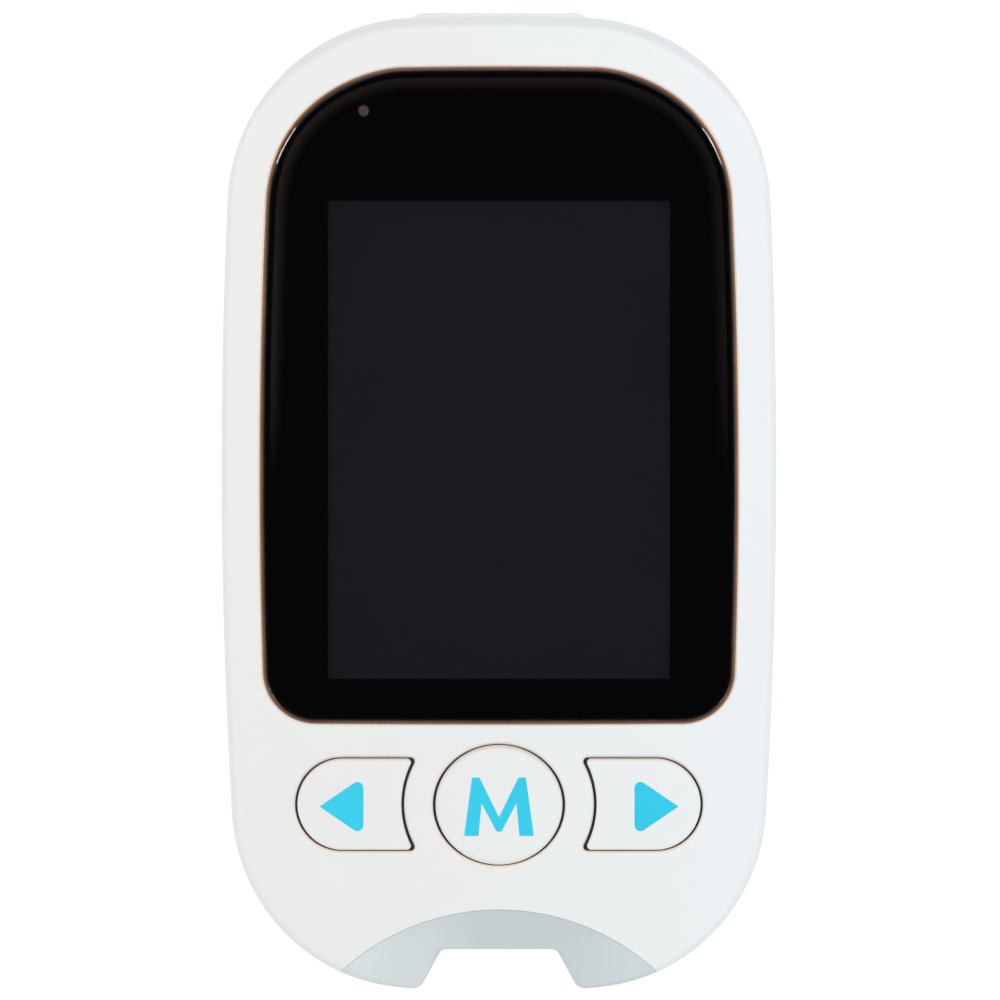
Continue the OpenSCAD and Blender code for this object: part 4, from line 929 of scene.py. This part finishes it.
# %% Winding wire
def wound(name, wire, start, end, height, turns, flat=1.0, steps=24, sides=10):
    """A helix of round wire from radius start to end, with flat turns at both ends. Wire is its radius."""
    count = int(turns * steps)
    section = [2 * pi * k / sides for k in range(sides)]
    rings = []
    for i in range(count + 1):
        at = i / steps
        rise = min(1.0, max(0.0, (at - flat) / max(turns - 2 * flat, 0.001)))
        radius = start + (end - start) * i / count
        z = wire + (height - 2 * wire) * rise
        out = Vector((cos(2 * pi * at), sin(2 * pi * at), 0))
        rings.append([tuple(out * (radius + wire * cos(a)) + Vector((0, 0, z + wire * sin(a))))
                      for a in section])
    return solid(name, rings)


# %% Contacts
PLATE_Z, TAB_Z = (3.55, 10.35), (9.9, 14.0)
LOW_END, TOP_END = (BAY_Y[0], BAY_Y[0] + SPRING_STEEL), (BAY_Y[1] - SPRING_STEEL, BAY_Y[1])


def sheet_plate(x0, x1, z, y):
    """A plate of sheet that stands across the bay, with z and y as (from, to) pairs."""
    return laid(block(x0, x1, -z[1], -z[0], *y, corner=0.5, low=0.05, high=0.05), -90, "X")


def contact_coil(angle, x, y):
    return laid(wound("coil", 0.3, 2.5, 2.1, 3.0, 3.5), angle, "X", x, y, CELL_Z)


coil = contact_coil(-90, -CELL_X, LOW_END[1])
contact_a = joined("spring_contact", sheet_plate(-9.0, -2.2, PLATE_Z, LOW_END),
                   sheet_plate(-6.6, -4.6, TAB_Z, LOW_END), coil)
place(contact_a, nickel_plate, "contact_nickel", "battery_contact_spring")
dimple = turned("dimple", [(1.7, 0), (1.5, 0.12), (1.0, 0.18)], steps=32)
contact_b = joined("plate_contact", sheet_plate(2.2, 9.0, PLATE_Z, LOW_END),
                   sheet_plate(4.6, 6.6, TAB_Z, LOW_END), laid(dimple, -90, "X", CELL_X, -8.62, CELL_Z))
place(contact_b, nickel_plate, "contact_nickel", "battery_contact_plate")
coil = contact_coil(90, CELL_X, TOP_END[0])
bridge = joined("bridge_contact", sheet_plate(-10.55, 10.55, PLATE_Z, TOP_END), coil)
place(bridge, nickel_plate, "contact_nickel", "battery_bridge")

# %% Return spring of the ejector
back_spring = laid(wound("ejector_return_spring", 0.22, 1.2, 1.2, 9.67, 9.0), -90, "X", 3.9, -42.87, 4.6)
place(back_spring, nickel_plate, "screw_steel", "ejector_spring")
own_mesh(back_spring)

# %% Snap domes
arch_up = [(2.5, 0.0), (2.5, 0.08), (2.3, 0.14), (1.9, 0.32), (1.4, 0.45), (0.8, 0.53), (0.2, 0.55)]
arch_down = [(0.2, 0.47), (0.8, 0.45), (1.35, 0.37), (1.8, 0.24), (2.15, 0.05), (2.15, 0.0)]
profile = [(r, z + 15.0) for r, z in arch_up + arch_down]
for name, x in (("m", 0), ("right", 14.4), ("left", -14.4)):
    dome = turned("snap_dome_piece_" + name, profile, x, KEY_Y, steps=36, loop=True)
    place(dome, rolled_steel, "dome_steel", "snap_dome_" + name)
    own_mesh(dome)

# %% [markdown]
# ## Pieces inside
# The board, its chips and the display stack keep the frame's own solids, because their shapes are right. They
# get softer edges from a bevel modifier and a finish of their own.


# %% Finishes inside
def moulded_pair(name, left, right, roughness, **more):
    return moulded(name, [(-20, left), (20, right)], roughness, **more)


foam_rubber = moulded_pair("black closed-cell foam", "#1A1A1B", "#101011", 0.85, grain=0.2, relief=0.05)
frame_white = moulded_pair("white reflector polycarbonate", "#F1F1EC", "#E9E9E4", 0.4)
silicone = moulded_pair("grey keypad silicone", "#BDBDBB", "#B1B1AF", 0.62, grain=0.5, relief=0.01)
chip_epoxy = moulded_pair("black chip epoxy", "#1D1E20", "#151617", 0.6, grain=0.15, relief=0.012)
ivory_lcp = moulded_pair("ivory connector plastic", "#E8E3D2", "#DDD7C4", 0.5)
pusher_acetal = moulded_pair("dark acetal", "#3A3B3E", "#303134", 0.45)
ceramic_tan = moulded_pair("tan ceramic", "#B59C78", "#9C835F", 0.5, grain=0.4)

flex_film, shader, where = finish("amber polyimide ribbon", IOR=1.7, Roughness=0.3)
stripes = {"Vector": where, "Scale": 1 / (3.2 * MM), "Distortion": 0.0}
tracks = add(where.id_data, "TexWave", stripes, bands_direction="X")
feed(shader, Base_Color=blend(tracks.outputs["Fac"], "#9A5B1E", "#C98A3A"))

# Solder mask is a green lacquer. Over copper it looks lighter, so fine lighter lines stand for the tracks.
solder_mask, shader, where = finish("green solder mask", IOR=1.55, Roughness=0.35)
routes = {"Vector": where, "Scale": 1.0, "Mortar Size": 0.13 * MM, "Brick Width": 4.2 * MM,
          "Row Height": 1.1 * MM, "Color1": "#0E5A34", "Color2": "#0B4E2D", "Mortar": "#2A7A4B"}
feed(shader, Base_Color=add(where.id_data, "TexBrick", routes).outputs["Color"])

rod_acrylic, shader, where = finish("milky light rod acrylic", IOR=1.49, Roughness=0.25)
feed(shader, Base_Color=blend(noise(where, 0.5, 2.0), "#745A56", "#634844"))

# %% Light rod
tip = [(0.55, 15.7), (0.55, 17.25), (0.95, 17.3), (0.95, 17.78), (0.55, 17.8), (0.55, 18.5), (0.5, 18.57),
       (0.35, 18.61), (0.15, 18.63)]
rod = turned("status_light_rod", tip, *STATUS_LIGHT, steps=32)
place(rod, rod_acrylic, "guide_clear", "light_guide")

# %% Dressing the carried-over pieces
inside = {
    "lcd_gasket": foam_rubber, "lcd_panel": display_glass_with_painted_glow, "lcd_backlight_frame": frame_white,
    "lcd_flex": flex_film, "pad_m": silicone, "pad_right": silicone, "pad_left": silicone,
    "main_board": solder_mask, "microcontroller": chip_epoxy, "bluetooth_module": rolled_steel,
    "memory_chip": chip_epoxy, "buzzer": pusher_acetal, "board_components": ceramic_tan,
    "status_led": frame_white, "strip_connector": ivory_lcp, "strip_contacts": contact_gold,
    "ejector_pusher": pusher_acetal,
}
for name, material in inside.items():
    solid_piece = nodes[name]
    solid_piece.data.materials.clear()
    solid_piece.data.materials.append(material)
    softer = solid_piece.modifiers.new("rounded edges", "BEVEL")
    softer.width = 0.06 * MM
    softer.segments = 2
    softer.limit_method = "ANGLE"
    softer.angle_limit = radians(40)
left_bare = [name for name in nodes if name not in inside and not nodes[name].hide_render]
print("nodes with no finish yet:", left_bare)

# %% [markdown]
# ## The studio
# A plain white table and a white room. The light comes from a bright ring round the horizon and from below
# it, as a white table throws light back. The ceiling is dark, as with a black card over the camera, because
# a glossy black lens mirrors what is above it. High up, over the top end, hangs half a hoop of faint warm
# light, which the rolled rim of the lens mirrors as a thin line, clearest round the two top corners.

# %% World light
scene = bpy.context.scene


def empty_tree(owner):
    owner.use_nodes = True
    owner.node_tree.nodes.clear()
    return owner.node_tree


scene.world = bpy.data.worlds.new("studio")
tree = empty_tree(scene.world)
way = split(add(tree, "TexCoord").outputs["Generated"])
ring_level = remap(way["Y"], (0.94, 0.81), (-0.9, 0.9))
ceiling = remap(way["Z"], (1.0, 0.018), (0.9, 0.985), interpolation_type="SMOOTHSTEP")
outer = remap(way["Z"], source=(0.984, 0.9888), interpolation_type="SMOOTHSTEP")
inner = remap(way["Z"], (1.0, 0.0), (0.9888, 0.9990))
upper = remap(way["Y"], source=(0.001, 0.005))
across = remap(way["X"], (0.34, 0.18), (-0.15, 0.15))
wide = add(tree, "Background", {"Color": "#FCFDFF", "Strength": product(ceiling, ring_level)})
hoop = product(outer, inner, upper, across)
faint = add(tree, "Background", {"Color": "#FFE8DC", "Strength": hoop})
room = add(tree, "AddShader", {0: wide.outputs[0], 1: faint.outputs[0]})
white = add(tree, "Background", {"Color": (1, 1, 1, 1), "Strength": 1.0})
seen = add(tree, "LightPath").outputs["Is Camera Ray"]
both = add(tree, "MixShader", {"Fac": seen, 1: room.outputs[0], 2: white.outputs[0]})
add(tree, "OutputWorld", {"Surface": both.outputs[0]})


# %% Side lamps
def lamp(name, spot, size, power, colour):
    """A soft square lamp that looks at the meter, with its place and size in metres."""
    light = bpy.data.lights.new(name, "AREA")
    light.size = size
    light.energy = power
    light.color = linear(colour)[:3]
    stand = bpy.data.objects.new(name, light)
    scene.collection.objects.link(stand)
    stand.location = spot
    stand.rotation_euler = Vector(spot).to_track_quat("Z", "Y").to_euler()


lamp("warm left lamp", (-0.36, 0.22, 0.56), 0.12, 0.74, "#FFF9F2")
lamp("cool right lamp", (0.36, 0.22, 0.56), 0.12, 0.78, "#F6FAFF")

# %% [markdown]
# The table lies well below the meter, so that the open door clears it. It glows almost white by itself and
# takes just enough light from the lamps to hold the meter's soft shadow.

# %% Table
TABLE_HALF, TABLE_Z = 1.5, -0.058
corners = [(x * TABLE_HALF, y * TABLE_HALF, 0) for x, y in ((-1, -1), (1, -1), (1, 1), (-1, 1))]
floor = shape("table", corners, [(0, 1, 2, 3)])
floor.location.z = TABLE_Z
for ray in ("diffuse", "glossy", "transmission", "shadow"):
    setattr(floor, "visible_" + ray, False)
paper = bpy.data.materials.new("white table")
tree = empty_tree(paper)
glow = add(tree, "Emission", {"Color": (1, 1, 1, 1), "Strength": 0.87})
matte_white = add(tree, "BsdfDiffuse", {"Color": (0.2, 0.2, 0.2, 1)})
lit = add(tree, "AddShader", {0: glow.outputs[0], 1: matte_white.outputs[0]})
clear = add(tree, "BsdfTransparent")
under = add(tree, "NewGeometry").outputs["Backfacing"]
top_only = add(tree, "MixShader", {"Fac": under, 1: lit.outputs[0], 2: clear.outputs[0]})
add(tree, "OutputMaterial", {"Surface": top_only.outputs[0]})
floor.data.materials.append(paper)
floor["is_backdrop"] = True

# %% Camera
DISTANCE, VIEW, FILM = 4.2, 0.099, 36
eye = bpy.data.cameras.new("camera")
eye.sensor_width = FILM
eye.clip_end = 10
camera = bpy.data.objects.new("camera", eye)
scene.collection.objects.link(camera)
scene.camera = camera
camera.location = (0.0001, 0.0, DISTANCE + (FACE - 4) * MM)
camera.rotation_euler = (0, 0, 0)
eye.lens = FILM * DISTANCE / VIEW
print("focal length in mm:", round(eye.lens, 1))
scene.view_settings.view_transform = "Standard"

new_box = [list(corner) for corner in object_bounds()]
change = max(abs(new_box[k][i] - cad_box[k][i]) for k in (0, 1) for i in range(3))
print("largest change of the box in mm:", round(change / MM, 3))
